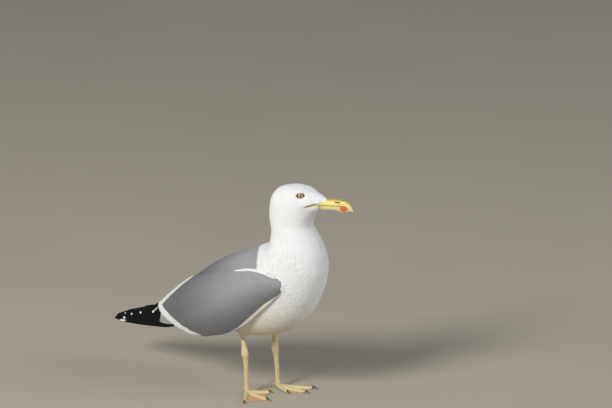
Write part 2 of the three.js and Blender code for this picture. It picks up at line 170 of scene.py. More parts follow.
# Stations of the body from the tail to the face: the back's x and z, the underside's x and z,
# half the width, and the share of the head's turn.
BODY_RINGS = metres([
    (-188, 126, -188, 124, 0.6, 0), (-180, 140, -178, 112, 11, 0),
    (-160, 157, -158, 103, 20, 0), (-134, 180, -124, 99, 33, 0),
    (-104, 202, -85, 97, 46, 0), (-71, 221.5, -42, 96.5, 55, 0),
    (-39, 236, 3, 99.5, 58.5, 0), (-9, 248, 46, 111, 59, 0),
    (12, 257.5, 84, 136, 58.5, 0), (26.5, 264.5, 111, 176, 56, 0),
    (32.5, 275, 123.5, 213, 52, 0), (32.7, 286, 124, 243, 46, 0.1),
    (31, 293.5, 115.5, 269, 40.5, 0.35), (29, 301, 104.5, 288, 37, 0.7),
    (27.3, 312, 99.5, 301, 34, 0.95), (27.3, 328, 102.5, 311, 32, 1),
    (31.3, 344.8, 106.5, 317.5, 30.5, 1), (42.6, 357.8, 109, 321, 29, 1),
    (62, 363.7, 111, 323.5, 27, 1), (79.5, 364.2, 113, 325.5, 24.6, 1),
    (96, 360.2, 114.5, 327, 19.8, 1), (110, 354.2, 116.5, 328, 14.3, 1),
    (121, 348.9, 119.5, 329.5, 9.3, 1), (124, 340.5, 123.5, 338, 0.8, 1),
], 1)

# Where along the body the head grows square, and how much.
BROW = (0.72, 0.80)
BROW_SQUARENESS = 0.3

# Stations of a folded wing from its bend: x, the top and foot edges' heights, and the arch that
# its outer face lies on, as half its breadth, its widest height, its crown and its power.
WING_SECTIONS = metres([
    (88, 209, 206, 52.5, 206, 310, 2), (84.5, 216, 197, 55.8, 207, 285, 2),
    (73, 222.5, 184, 60.3, 207.5, 270, 2), (50, 228, 163, 65.4, 201.5, 263.5, 2),
    (20, 226.5, 137, 68.5, 186.5, 250.5, 2), (-14, 217.5, 114.5, 70, 172, 239.5, 2),
    (-54, 204.5, 99.5, 68.5, 157.5, 223, 2), (-94, 194, 90.3, 64, 145, 205.5, 1.95),
    (-128, 183, 91.8, 57.5, 135.5, 187.5, 1.8), (-158, 166.5, 99, 49.5, 127, 168, 1.6),
    (-187, 144.5, 108.5, 38.5, 119.5, 145.6, 1.5), (-203, 130, 115.8, 27.5, 116.5, 131.5, 1.5),
    (-210, 122.5, 119.5, 20, 116.5, 124.5, 1.5),
], 1)

WING_TIP, WING_BEND = WING_SECTIONS[-1, 0], WING_SECTIONS[0, 0]

# The same for the folded primaries.
PRIMARY_SECTIONS = metres([
    (-140, 104, 100, 44, 104, 140, 1.8), (-150, 116, 95, 41, 104, 148, 1.8),
    (-182, 126, 84, 34, 97, 141, 1.7), (-214, 117.5, 79, 30, 90, 129, 1.7),
    (-245, 106, 74.5, 25.5, 83, 112, 1.8), (-276, 94.5, 69.8, 20, 77, 99, 1.8),
    (-302, 84.5, 64.4, 15, 72, 90, 1.8), (-312, 79, 62, 12.7, 70, 86, 1.8),
    (-318, 70.5, 62.8, 11.3, 68, 80, 1.8),
], 1)


# ---------------------------------------------------------------- places in the frame

def centre_of(node):
    low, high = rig.box(node)
    return (low + high) / 2


BETWEEN_EYES = Vector((
    HEAD_PIVOT + EYE_AHEAD * math.cos(HEAD_TURN),
    EYE_AHEAD * math.sin(HEAD_TURN),
    EYE_HEIGHT,
))
# The point on the floor midway between the heels, which the stations are measured from.
HEELS = np.array((centre_of("eye_right") + centre_of("eye_left")) / 2 - BETWEEN_EYES)


def turned(x, y, z, share=1.0):
    """Points that take a share of the head's turn, as an array of rows."""
    angle = HEAD_TURN * share
    ahead = x - HEAD_PIVOT
    return np.stack(np.broadcast_arrays(
        HEAD_PIVOT + ahead * np.cos(angle) - y * np.sin(angle),
        ahead * np.sin(angle) + y * np.cos(angle),
        z,
    ), -1) + HEELS


def on_head(ahead, out, height):
    """A point of the head, ahead of its pivot and out to its left."""
    return turned(HEAD_PIVOT + np.asarray(ahead), np.asarray(out), np.asarray(height))


def through(table, t):
    """Rows at t, 0 to 1, on the smooth centripetal curve through a table's rows."""
    last = len(table) - 1
    place = np.clip(np.asarray(t, float), 0, 1) * last
    k = np.minimum(place.astype(int), last - 1)
    w = (place - k)[..., None]
    ends = np.vstack([2 * table[0] - table[1], table, 2 * table[-1] - table[-2]])
    before, a, b, after = (ends[k + step] for step in range(4))

    def apart(p, q):
        return np.maximum(np.linalg.norm(q - p, axis=-1, keepdims=True), 1e-9) ** 0.5

    d0, d1, d2 = apart(before, a), apart(a, b), apart(b, after)
    leave = ((a - before) / d0 - (b - before) / (d0 + d1) + (b - a) / d1) * d1
    reach = ((b - a) / d1 - (after - a) / (d1 + d2) + (after - b) / d2) * d1
    square = -3 * a + 3 * b - 2 * leave - reach
    cube = 2 * a - 2 * b + leave + reach
    return a + leave * w + square * w**2 + cube * w**3


def body_surface(t, angle):
    """The body's outer surface: t runs from tail to face, and angle 0 is the back."""
    backs = through(BODY_RINGS[:, [0, 4, 1]], t)
    fronts = through(BODY_RINGS[:, [2, 5, 3]], t)
    up = np.cos(angle)[..., None]
    middle = (backs + fronts) / 2 + (backs - fronts) / 2 * up
    square = BROW_SQUARENESS * np.clip((t - BROW[0]) / (BROW[1] - BROW[0]), 0, 1)
    out = backs[..., 1] * np.sign(np.sin(angle)) * np.abs(np.sin(angle)) ** (1 - square)
    return turned(middle[..., 0], out, middle[..., 2], fronts[..., 1])


# ---------------------------------------------------------------- modelling helpers

def only(obj):
    """Makes obj the one selected and active object."""
    bpy.ops.object.select_all(action="DESELECT")
    obj.select_set(True)
    bpy.context.view_layer.objects.active = obj


def edit(obj, *steps):
    """Runs edit-mode operators on everything in obj."""
    only(obj)
    bpy.ops.object.mode_set(mode="EDIT")
    bpy.ops.mesh.select_all(action="SELECT")
    for operator, settings in steps:
        operator(**settings)
    bpy.ops.object.mode_set(mode="OBJECT")


def modified(obj, kind, **settings):
    """Adds a modifier to obj and applies it."""
    only(obj)
    modifier = obj.modifiers.new(kind.title(), kind)
    for key, value in settings.items():
        setattr(modifier, key, value)
    bpy.ops.object.modifier_apply(modifier=modifier.name)


def joined(name, objects):
    only(objects[0])
    for obj in objects:
        obj.select_set(True)
    if len(objects) > 1:
        bpy.ops.object.join()
    objects[0].name = name
    return objects[0]


def primitive(name, operator, **settings):
    """A new object made by one of the primitive operators."""
    bpy.ops.object.select_all(action="DESELECT")
    operator(**settings)
    bpy.context.object.name = name
    return bpy.context.object


def shaped(name, around, lengthwise, place):
    """A ball whose points are moved to place(t, angle), where t runs from pole to pole."""
    obj = primitive(name, bpy.ops.mesh.primitive_uv_sphere_add,
                    segments=around, ring_count=lengthwise, radius=1)
    points = vertices_of(obj)
    t = np.arccos(np.clip(points[:, 2], -1, 1)) / math.pi
    angle = np.where(np.abs(points[:, 2]) > 0.9999999, 0, np.arctan2(points[:, 1], points[:, 0]))
    set_vertices(obj, place(t, angle))
    return faired(obj)


def faired(obj):
    """Turns obj's faces outwards and shades them smooth."""
    edit(obj, (bpy.ops.mesh.normals_make_consistent, {"inside": False}))
    bpy.ops.object.shade_smooth()
    return obj


def vertices_of(obj):
    points = np.empty(len(obj.data.vertices) * 3)
    obj.data.vertices.foreach_get("co", points)
    return points.reshape(-1, 3)


def normals_of(obj):
    return np.array([v.normal for v in obj.data.vertices])


def set_vertices(obj, points):
    obj.data.vertices.foreach_set("co", np.ascontiguousarray(points, float).ravel())
    obj.data.update()


def copy_of(node):
    """A free copy of a frame node, with its loose triangles merged."""
    source = frame["nodes"][node]
    obj = bpy.data.objects.new(node + "_copy", source.data.copy())
    bpy.context.collection.objects.link(obj)
    edit(obj, (bpy.ops.mesh.remove_doubles, {"threshold": 1e-6}))
    return obj


def direction(degrees):
    """The cosine and the sine of an angle."""
    return math.cos(math.radians(degrees)), math.sin(math.radians(degrees))


def unit(vectors):
    return vectors / np.maximum(np.linalg.norm(vectors, axis=-1, keepdims=True), 1e-12)


def ramp(low, high, x):
    """0 below low, 1 above high and a smooth rise between."""
    share = np.clip((np.asarray(x, float) - low) / (high - low), 0, 1)
    return share * share * (3 - 2 * share)


def fall(low, high, x):
    """1 below low, 0 above high and a smooth fall between."""
    return 1 - ramp(low, high, x)


# ---------------------------------------------------------------- surfaces that the coat lies on

# The way that the feathers of the thighs point.
THIGH_LIE = np.array((-0.25, 0, -0.97))


class BodySurface:
    """The outline that the coat's tips reach on the body, with the lie of its feathers."""

    def __init__(self, obj):
        self.tree = BVHTree.FromObject(obj, bpy.context.evaluated_depsgraph_get())
        t, angle = np.meshgrid(np.linspace(0.01, 0.99, 200), np.linspace(0, 2 * math.pi, 97)[:-1])
        points = body_surface(t.ravel(), angle.ravel())
        self.lie = unit(body_surface(t.ravel() - 0.004, angle.ravel()) - points)
        self.near = KDTree(len(points))
        for k, point in enumerate(points):
            self.near.insert(point, k)
        self.near.balance()

    def drop(self, points):
        """The nearest places on the surface and their outward normals."""
        found = [self.tree.find_nearest(p)[:2] for p in points.reshape(-1, 3)]
        shape = points.shape
        return (np.array([p for p, _ in found]).reshape(shape),
                np.array([n for _, n in found]).reshape(shape))

    def headings(self, points):
        lie = self.lie[[self.near.find(p)[1] for p in points]]
        share = fall(0.096, 0.112, points[:, 2])[:, None]
        return unit(lie * (1 - share) + THIGH_LIE * share)


# The distance over which a wing's slope is measured.
SLOPE_STEP = 0.0015


class Aimed:
    """A surface on which each feather points at an aim of its own."""
    aims = None

    def headings(self, points):
        ahead = self.aims - points
        normals = self.drop(points)[1]
        return unit(ahead - normals * np.sum(ahead * normals, -1, keepdims=True))


class WingSurface(Aimed):
    """The outer face of a folded wing, or of its primaries, as a height over the side view."""

    def __init__(self, sections, side):
        t = np.linspace(0, 1, 600)
        edges = through(sections[:, [0, 1, 2]], t)[::-1]
        arches = through(sections[:, [3, 4, 5]], t)[::-1]
        powers = through(sections[:, [6, 6, 0]] * (1, 0, 1), t)[::-1]
        self.x = np.maximum.accumulate(edges[:, 0])
        self.rows = np.column_stack([edges[:, 1:], arches, powers[:, 0]])
        self.side = side

    def at(self, x):
        """The top and foot edges' heights, the arch's breadth, middle, crown and power at x."""
        return [np.interp(x, self.x, self.rows[:, k]) for k in range(6)]

    def out(self, x, z):
        _, _, wide, mid, crown, power = self.at(x)
        high = z > mid
        span = np.where(high, crown - mid, 1.25 * (crown - mid))
        power = np.where(high, power, 2.6)
        share = np.minimum(np.abs(z - mid) / span, 0.995)
        return wide * (1 - share**power) ** (1 / power)

    def inside(self, x, z, margin):
        top, foot = self.at(x)[:2]
        level = (x > self.x[0] + margin) & (x < self.x[-1] - margin)
        return level & (z > foot + margin) & (z < top - margin)

    def drop(self, points):
        x = np.clip(points[..., 0] - HEELS[0], self.x[0], self.x[-1])
        top, foot = self.at(x)[:2]
        z = np.clip(points[..., 2], foot, top)
        slope_x, slope_z = ((self.out(x + a, z + b) - self.out(x - a, z - b)) / (2 * SLOPE_STEP)
                            for a, b in ((SLOPE_STEP, 0), (0, SLOPE_STEP)))
        normals = unit(np.stack([-slope_x, np.full_like(x, self.side), -slope_z], -1))
        return self.place(x, z), normals

    def place(self, x, z):
        """Points on the outer face from their x and z, which are measured from the heels."""
        return np.stack(np.broadcast_arrays(x, self.side * self.out(x, z), z), -1) + HEELS


class TailSurface(Aimed):
    """The upper face of the closed tail, as a height over the view from above."""

    def drop(self, points):
        x, y = points[..., 0] - HEELS[0], points[..., 1] - HEELS[1]
        x = np.clip(x, TAIL_LINE[0, 0], TAIL_LINE[-1, 0])
        z = np.interp(x, TAIL_LINE[:, 0], TAIL_LINE[:, 1]) - TAIL_DROOP * y * y
        slope = (TAIL_LINE[-1, 1] - TAIL_LINE[0, 1]) / (TAIL_LINE[-1, 0] - TAIL_LINE[0, 0])
        normals = unit(np.stack([np.full_like(x, -slope), 2 * TAIL_DROOP * y, np.ones_like(x)], -1))
        return np.stack([x, y, z], -1) + HEELS, normals


# The tail's upper face from its tip to its base: x and height.
TAIL_LINE = metres([
    (-258.5, 86.2), (-250, 89), (-230, 99.5), (-200, 114.7), (-160, 128.5),
])
TAIL_DROOP = 6.0


# ---------------------------------------------------------------- feathers

# How far a vane's tip is rounded out past its last row, as a share of its length.
TIP_ROUNDING = 0.08


def feather_form(name, across, stations):
    """One vane, modelled once: two sheets that share their rim, with rows at the given stations,
    each a share of the length and of the width. Returns its points, rows and faces."""
    last = len(stations) - 1
    obj = primitive(name, bpy.ops.mesh.primitive_grid_add,
                    x_subdivisions=across, y_subdivisions=last, size=1)
    points = vertices_of(obj)
    row = np.rint((points[:, 1] + 0.5) * last).astype(int)
    stations = np.array(stations)
    points[:, 1] = stations[row, 0] + TIP_ROUNDING * (row == last) * (1 - 4 * points[:, 0] ** 2)
    points[:, 0] *= stations[row, 1]
    set_vertices(obj, points)
    edit(obj, (bpy.ops.mesh.duplicate, {}), (bpy.ops.mesh.flip_normals, {}))
    under = np.array([v.select for v in obj.data.vertices])
    points = vertices_of(obj)
    between = (stations[:-1, 0] + stations[1:, 0]) / 2
    row = np.searchsorted(between, points[:, 1])
    inner = (row > 0) & (row < last)
    across_share = np.abs(2 * points[:, 0]) / stations[row, 1]
    points[:, 2] = np.where(inner, 0.5 * (1 - across_share**2), 0) * np.where(under, -1, 1)
    set_vertices(obj, points)
    edit(obj, (bpy.ops.mesh.remove_doubles, {"threshold": 1e-5}))
    points = vertices_of(obj)
    row = np.searchsorted(between, points[:, 1])
    faces = np.array([p.vertices[:] for p in obj.data.polygons])
    bpy.data.objects.remove(obj)
    return {"points": points, "row": row, "faces": faces, "stations": stations}


def lay(form, surface, roots, size, sink, turn=None, thick=0.0004, lift=0.0, bow=0.0):
    """Lays a vane from each root along the coat. size holds each length and width, sink is how
    far the root lies under the surface, and turn is each vane's own swing in radians."""
    lengths, widths = size[:, 0], size[:, 1]
    centres, normals, headings = [], [], []
    here, normal = surface.drop(roots)
    swing = np.zeros(len(roots)) if turn is None else turn
    last = 0.0
    for share in form["stations"][:, 0]:
        if share > last:
            here, normal = surface.drop(here + heading * (lengths * (share - last))[:, None])
            last = share
        heading = surface.headings(here)
        heading = unit(heading - normal * np.sum(heading * normal, -1, keepdims=True))
        side = np.cross(heading, normal)
        angle = (swing + bow * share)[:, None]
        heading = heading * np.cos(angle) + side * np.sin(angle)
        centres.append(here)
        headings.append(heading)
        normals.append(normal)
    centres, normals, headings = (np.stack(a, 1) for a in (centres, normals, headings))
    sides = np.cross(headings, normals)
    row, points = form["row"], form["points"]
    base = centres[:, row] + sides[:, row] * (points[:, 0] * widths[:, None])[..., None]
    past = points[:, 1] - form["stations"][row, 0]
    base = base + headings[:, row] * (past * lengths[:, None])[..., None]
    base, up = surface.drop(base)
    share = np.clip(points[:, 1], 0, 1)
    deep = np.broadcast_to(np.asarray(sink, float), lengths.shape)[:, None]
    height = points[:, 2] * thick - deep * (1 - share) + np.asarray(lift) * share**2
    return base + up * height[..., None], up


def mesh_of(name, points, faces):
    mesh = bpy.data.meshes.new(name)
    mesh.vertices.add(len(points))
    mesh.vertices.foreach_set("co", np.ascontiguousarray(points, np.float32).ravel())
    mesh.loops.add(faces.size)
    mesh.loops.foreach_set("vertex_index", np.ascontiguousarray(faces, np.int32).ravel())
    mesh.polygons.add(len(faces))
    mesh.polygons.foreach_set("loop_start", np.arange(0, faces.size, faces.shape[1], dtype=np.int32))
    mesh.update(calc_edges=True)
    return mesh


def give(mesh, name, values):
    """Stores one number or one vector for each point of a mesh."""
    values = np.ascontiguousarray(values, np.float32)
    kind = "FLOAT_VECTOR" if values.ndim == 2 else "FLOAT"
    attribute = mesh.attributes.new(name, kind, "POINT")
    attribute.data.foreach_set("vector" if values.ndim == 2 else "value", values.ravel())


def mark(obj, *masks):
    """Stores three masks that colour the points of obj."""
    give(obj.data, "Marks", np.stack(np.broadcast_arrays(*masks), -1))


def give_map(mesh, name, values):
    """Stores a UV map that has one place for each point of a mesh."""
    corners = np.empty(len(mesh.loops), np.int32)
    mesh.loops.foreach_get("vertex_index", corners)
    layer = mesh.uv_layers.new(name=name)
    layer.uv.foreach_set("vector", np.ascontiguousarray(values[corners], np.float32).ravel())


# The size of each vane's patch on the skin's unwrap, and how far its normals follow the coat's.
PATCH = 0.003
SMOOTHING = 0.88


def coat(name, form, vanes, ups, marks, tones, places, finish):
    """Joins laid vanes into one piece. marks colours their points, and places are their roots'
    places on the skin's unwrap."""
    count, size = vanes.shape[:2]
    faces = (form["faces"][None] + size * np.arange(count)[:, None, None]).reshape(-1, 4)
    mesh = mesh_of(name, vanes.reshape(-1, 3), faces)
    give(mesh, "Marks", marks.reshape(-1, 3))
    give(mesh, "Tone", np.repeat(tones, size))
    flat = form["points"][:, :2] + (0.5, 0)
    give_map(mesh, "Vane", np.tile(flat, (count, 1)))
    patch = (places[:, None] + PATCH * (flat - 0.5)[None]).reshape(-1, 2)
    give_map(mesh, "OFBake", patch)
    corners = vanes[:, form["faces"]]
    facing = unit(np.cross(corners[:, :, 2] - corners[:, :, 0], corners[:, :, 3] - corners[:, :, 1]))
    up = ups[:, form["faces"]]
    outward = np.where(np.sum(facing * up.mean(2), -1) < 0, -1, 1)[..., None, None]
    smooth = unit(up * outward * SMOOTHING + facing[:, :, None] * (1 - SMOOTHING))
    mesh.polygons.foreach_set("use_smooth", np.ones(len(faces), bool))
    mesh.normals_split_custom_set(smooth.reshape(-1, 3).tolist())
    obj = bpy.data.objects.new(name, mesh)
    bpy.context.collection.objects.link(obj)
    mesh.materials.append(finish)
    return obj


def spread(corners, spacing, rng):
    """Random places on triangles, none nearer to another than spacing."""
    along, across = corners[:, 1] - corners[:, 0], corners[:, 2] - corners[:, 0]
    areas = np.linalg.norm(np.cross(along, across), axis=1) / 2
    tries = int(9 * areas.sum() / spacing**2)
    chosen = rng.choice(len(corners), tries, p=areas / areas.sum())
    a, b = rng.random((2, tries))
    over = a + b > 1
    a[over], b[over] = 1 - a[over], 1 - b[over]
    points = corners[chosen, 0] + a[:, None] * along[chosen] + b[:, None] * across[chosen]
    cells = {}
    kept = []
    around = [(i, j, k) for i in (-1, 0, 1) for j in (-1, 0, 1) for k in (-1, 0, 1)]
    limit = spacing * spacing
    rooms = np.floor(points / spacing).astype(int).tolist()
    for index, ((x, y, z), (u, v, w)) in enumerate(zip(points.tolist(), rooms)):
        near = (spot for i, j, k in around for spot in cells.get((u + i, v + j, w + k), ()))
        if all((px - x) ** 2 + (py - y) ** 2 + (pz - z) ** 2 >= limit for px, py, pz in near):
            cells.setdefault((u, v, w), []).append((x, y, z))
            kept.append(index)
    return points[kept]


# ---------------------------------------------------------------- finishes

class Value:
    """A shader socket that Python expressions can use."""

    def __init__(self, finish, socket):
        self.finish = finish
        self.socket = socket

    def math(self, operation, *values, clamp=False):
        return self.finish.node("ShaderNodeMath", {"operation": operation, "use_clamp": clamp},
                                [self, *values])

    def __add__(self, other):
        return self.math("ADD", other)

    __radd__ = __add__

    def __sub__(self, other):
        return self.math("SUBTRACT", other)

    def __rsub__(self, other):
        return self.math("MULTIPLY", -1).math("ADD", other)

    def __mul__(self, other):
        return self.math("MULTIPLY", other)

    __rmul__ = __mul__

    def __abs__(self):
        return self.math("ABSOLUTE")

    def clamped(self):
        return self.math("ADD", 0.0, clamp=True)


class Finish:
    """A material whose nodes paint one kind of surface."""

    def __init__(self, name, constants):
        self.material = bpy.data.materials.new(name)
        self.material.use_nodes = True
        self.tree = self.material.node_tree
        self.shader = self.tree.nodes["Principled BSDF"]
        for socket, value in constants.items():
            self.shader.inputs[socket].default_value = value

    def node(self, kind, settings=None, inputs=(), output=0):
        made = self.tree.nodes.new(kind)
        for key, value in (settings or {}).items():
            setattr(made, key, value)
        pairs = inputs.items() if isinstance(inputs, dict) else enumerate(inputs)
        for key, value in pairs:
            if isinstance(value, Value):
                self.tree.links.new(value.socket, made.inputs[key])
            else:
                made.inputs[key].default_value = value
        return Value(self, made.outputs[output])

    def attribute(self, name, output="Fac"):
        return self.node("ShaderNodeAttribute", {"attribute_name": name}, output=output)

    def marks(self):
        """The three masks that the surface's points carry."""
        vector = self.attribute("Marks", "Vector")
        return [self.node("ShaderNodeSeparateXYZ", inputs=[vector], output=k).clamped() for k in range(3)]

    def mix(self, share, a, b, blend="MIX"):
        """Two colours mixed, each a socket, four numbers or the name of one of the gull's colours."""
        colours = bpy.context.scene.gull_colours
        inputs = {0: share, 6: a, 7: b}
        for socket in (6, 7):
            if isinstance(inputs[socket], str):
                inputs[socket] = (*getattr(colours, inputs[socket]), 1.0)
        return self.node("ShaderNodeMix", {"data_type": "RGBA", "blend_type": blend}, inputs, output=2)

    def paint(self, base, *layers):
        """Feeds the base colour from base under layers, each a share and a colour."""
        for share, over in layers:
            base = self.mix(share, base, over)
        self.feed("Base Color", base)

    def place(self):
        return self.node("ShaderNodeTexCoord", output="Object")

    def noise(self, scale, detail=3.0):
        inputs = {"Vector": self.place(), "Scale": scale, "Detail": detail}
        return self.node("ShaderNodeTexNoise", inputs=inputs)

    def bump(self, height, strength, distance):
        self.feed("Normal", self.node("ShaderNodeBump", inputs={
            "Strength": strength, "Distance": distance, "Height": height}))

    def feed(self, socket, value):
        self.tree.links.new(value.socket, self.shader.inputs[socket])


def colour(name, default, note):
    return FloatVectorProperty(name=name, description=note, subtype="COLOR", size=3, min=0, max=1,
                               default=default)


def length(name, default, note):
    return FloatProperty(name=name, description=note, unit="LENGTH", min=0, default=default)


class GullColours(bpy.types.PropertyGroup):
    white: colour("White", (0.81, 0.825, 0.845), "Head, neck, breast, belly and tail")
    # Painted warm shade: the floor's warm reflected light on the shaded flanks, belly and the wing's lower front.
    cream: colour("Cream", (0.68, 0.60, 0.42), "Flanks and the wing's front edge")
    grey: colour("Grey", (0.318, 0.326, 0.349), "Mantle and wings")
    # Also mixed in as painted shade on the wings, the mantle and in the eye sockets.
    black: colour("Black", (0.007, 0.007, 0.008), "Wing tips")
    yellow: colour("Yellow", (0.81, 0.64, 0.155), "Bill")
    # Also a painted highlight along the bill's cutting edges.
    ivory: colour("Ivory", (0.80, 0.72, 0.42), "Bill tip and cutting edges")
    red: colour("Red", (0.72, 0.13, 0.05), "Spot on the lower mandible")
    # Painted shade in the nostrils, along the line between the mandibles, on the bill's ridge and along the mouth's
    # line.
    nostril: colour("Dark horn", (0.03, 0.02, 0.01), "Nostrils and the line between the mandibles")
    iris: colour("Iris", (0.64, 0.46, 0.21), "Iris")
    lid: colour("Eye ring", (0.42, 0.18, 0.08), "Bare ring around the eye and the corner of the mouth")
    leg: colour("Leg", (0.66, 0.57, 0.31), "Legs and toes")
    web: colour("Web", (0.62, 0.38, 0.22), "Webs between the toes")
    claw: colour("Claw", (0.02, 0.016, 0.014), "Claws")
    floor: colour("Floor", (0.41, 0.37, 0.30), "Floor")


class GullSizes(bpy.types.PropertyGroup):
    face_coat: length("Face coat", 0.0009, "Depth of the coat on the face")
    body_coat: length("Body coat", 0.0016, "Depth of the coat on the body")
    wing_coat: length("Wing coat", 0.0030, "Depth of the coat on the wings' arms")


def plumage_colour(finish):
    """White, grey or black, as the marks say; the black mask also carries painted shade, and the warm mask mixes in a
    creamy painted warm shade.
    """
    grey, black, warm = finish.marks()
    pale = finish.mix(warm, "white", "cream")
    return finish.mix(black, finish.mix(grey, pale, "grey"), "black")


def plumage(name, barb_strength, shine=0.25):
    """Feathers: their marks, each one's own tone, paler fringes, a fine shaft and barbs."""
    finish = Finish(name, {"Roughness": 0.82, "Sheen Weight": 0.5 * shine, "Specular IOR Level": shine})
    flat = finish.node("ShaderNodeUVMap", {"uv_map": "Vane"})
    across = finish.node("ShaderNodeSeparateXYZ", inputs=[flat], output=0)
    along = finish.node("ShaderNodeSeparateXYZ", inputs=[flat], output=1)
    aside = abs(across - 0.5)
    fringe = (aside * 2.0 - 0.72).clamped() + (along - 0.90).clamped() * 4.0
    tone = finish.attribute("Tone") + (finish.noise(90.0) - 0.5) * 0.10 + fringe * 0.16
    value = finish.node("ShaderNodeCombineColor", inputs=[1.0 + tone, 1.0 + tone, 1.0 + tone])
    finish.feed("Base Color", finish.mix(1.0, plumage_colour(finish), value, "MULTIPLY"))
    barbs = finish.node("ShaderNodeMath", {"operation": "SINE"}, [(along * 3.0 + aside) * 130.0])
    shaft = (1.0 - aside * 40.0).clamped()
    finish.bump(barbs * 0.5 + shaft * 2.0, barb_strength, 0.0002)
    return finish.material


# ---------------------------------------------------------------- markings

# Widths of the white along a wing's edges, at places along it.
FOOT_WHITE = metres([
    (-210, 15.5), (-180, 15.5), (-160, 14), (-120, 10), (-95, 5),
    (-83, 0), (-25, 0), (20, 4), (60, 4.5), (84, 0),
])
TOP_WHITE = metres([
    (-210, 16), (-200, 16), (-187, 14.5), (-160, 10), (-135, 4),
    (-122, 0), (-20, 0), (-12, 2), (5, 3.6), (30, 3.8),
    (70, 3), (80, 0),
])
# The width of a mark's border, and how strong the painted shade is that darkens the wings and the mantle toward the
# rear, and the painted warm shade on the flanks and the wings' lower front.
MARK_EDGE = 0.0012
WING_DUSK = 0.60
MANTLE_DUSK = 0.60
MANTLE_EDGE = 0.0045
WING_CREAM = 0.60
FLANK_CREAM = 0.75


def edge_mark(inside):
    """Turns a distance inside a mark's border into a mask that is sharp after clamping."""
    return np.clip(0.5 + inside / MARK_EDGE, -3, 4)


def wing_marks(points, wing):
    """Grey with white edges, with painted shade that darkens it toward the rear and the foot, and painted warm shade
    in front.
    """
    local = points - HEELS
    x = np.linspace(WING_TIP, WING_BEND, 160)
    inside = np.full(local.shape[:-1], -1.0)
    for edge, widths in ((wing.at(x)[0], TOP_WHITE), (wing.at(x)[1], FOOT_WHITE)):
        reach = np.interp(x, widths[:, 0], widths[:, 1])
        for k in np.flatnonzero(reach > 0):
            away = np.hypot(local[..., 0] - x[k], local[..., 2] - edge[k])
            inside = np.maximum(inside, reach[k] - away)
    # Painted warm shade at the wing's lower front.
    front = ramp(-0.04, 0.0, local[..., 0]) * fall(0.17, 0.2, local[..., 2])
    top, foot = wing.at(local[..., 0])[:2]
    # Painted shade, darker toward the wing's foot and its rear.
    low = fall(0.05, 0.85, (local[..., 2] - foot) / np.maximum(top - foot, 0.02))
    worn = np.maximum(low, fall(-0.165, 0.035, local[..., 0]))
    dusk = WING_DUSK * worn * np.clip(1 - edge_mark(inside), 0, 1)
    return np.stack([1 - edge_mark(inside), dusk, WING_CREAM * front], -1)


def body_marks(points, wing):
    """White, with a grey mantle between the wings, painted shade toward the mantle's rear and painted warm shade on
    the flanks.
    """
    x, y, z = np.moveaxis(points - HEELS, -1, 0)
    front = -0.004 + 0.7 * np.abs(y)
    wedge = -0.012 + 0.010 * ramp(-0.030, 0.028, x)
    inside = np.minimum(np.minimum(front - x, z - wing.at(x)[0] - wedge), x + 0.142)
    grey = 0.5 + inside / MANTLE_EDGE
    # Painted shade, darker toward the mantle's rear.
    dusk = MANTLE_DUSK * fall(-0.12, 0.0, x) * np.clip(grey, 0, 1)
    # Painted warm shade on the lower flanks and belly.
    warm = FLANK_CREAM * fall(0.10, 0.18, z)
    return np.stack([grey, dusk, warm], -1)


def skin_marks(points, wing):
    """The marks of the body or of the wings, with the sunk skin behind the eyeballs painted black as shade."""
    own = on_wing(points, wing, 0.0)[:, None]
    marks = np.where(own, wing_marks(points, wing), body_marks(points, wing))
    # Painted shade: the sunk skin behind each eyeball is painted black.
    marks[:, 1] = np.maximum(marks[:, 1], fall(0.88, 0.97, from_eye(points)))
    return marks


# ---------------------------------------------------------------- the body's skin and coat

# The surface that the coat's tips reach and the skin's unwrap, for the operators after the body's.
SHELL = {}
SEED = 20240
# Where the face's feathers end, as height and distance ahead of the head's pivot: down the side of
# the upper mandible, and at the lower one.
UPPER_FEATHER_LINE = metres([
    (337.8, 36), (338.9, 38.3), (340, 48), (341.2, 56), (342.5, 59.2),
    (344.5, 60), (346.5, 58.2), (349, 56),
])
LOWER_FEATHER_LINE = 0.0478
MOUTH_TOP = 0.3376
WING_ARM_END = -0.100
# The middle of each eye's bare ring, its opening between the lids and its outer rim, as half its
# length and half its height.
RING_AHEAD = 0.0197
RING_HEIGHT = 0.3533
LID_OPENING = (0.0054, 0.0032)
RING_OUTER = (0.0065, 0.0041)
# How far out the middle of each eye's lids lies, and how much less far out for each step ahead and up.
LID_OUT = 0.0218
LID_SLOPE = (0.352, 0.45)


# How far out the side of the face that holds an eye starts, and what counts as far from any eye.
EYE_SIDE = 0.012
NOT_NEAR = 9.0


def head_place(points):
    """How far points lie ahead of the head's pivot, and out to its left."""
    x, y = points[..., 0] - HEELS[0] - HEAD_PIVOT, points[..., 1] - HEELS[1]
    cos, sin = math.cos(HEAD_TURN), math.sin(HEAD_TURN)
    return x * cos + y * sin, y * cos - x * sin


def past_feather_line(points):
    """How far points lie past the line where the face's feathers end."""
    ahead, _ = head_place(points)
    height = points[..., 2]
    upper = np.interp(height, UPPER_FEATHER_LINE[:, 0], UPPER_FEATHER_LINE[:, 1])
    line = np.where(height > MOUTH_TOP, upper, LOWER_FEATHER_LINE)
    return ahead - line


def from_eye(points):
    """How far points on the head lie from the nearer eye's middle, 1 at the rim of its lids."""
    ahead, out = head_place(points)
    away = np.hypot((ahead - RING_AHEAD) / RING_OUTER[0], (points[..., 2] - RING_HEIGHT) / RING_OUTER[1])
    return np.where(np.abs(out) > EYE_SIDE, away, NOT_NEAR)


def on_wing(points, wing, inside):
    """Whether points lie on a wing's outer face, further than inside from its edges."""
    local = points - HEELS
    x, y, z = np.moveaxis(local, -1, 0)
    top, foot = wing.at(x)[:2]
    within = (z < top - inside) & (z > foot + inside) & (x < WING_BEND - inside)
    return within & (np.abs(y) > wing.out(x, z) - ARM_DEPTH / 2)


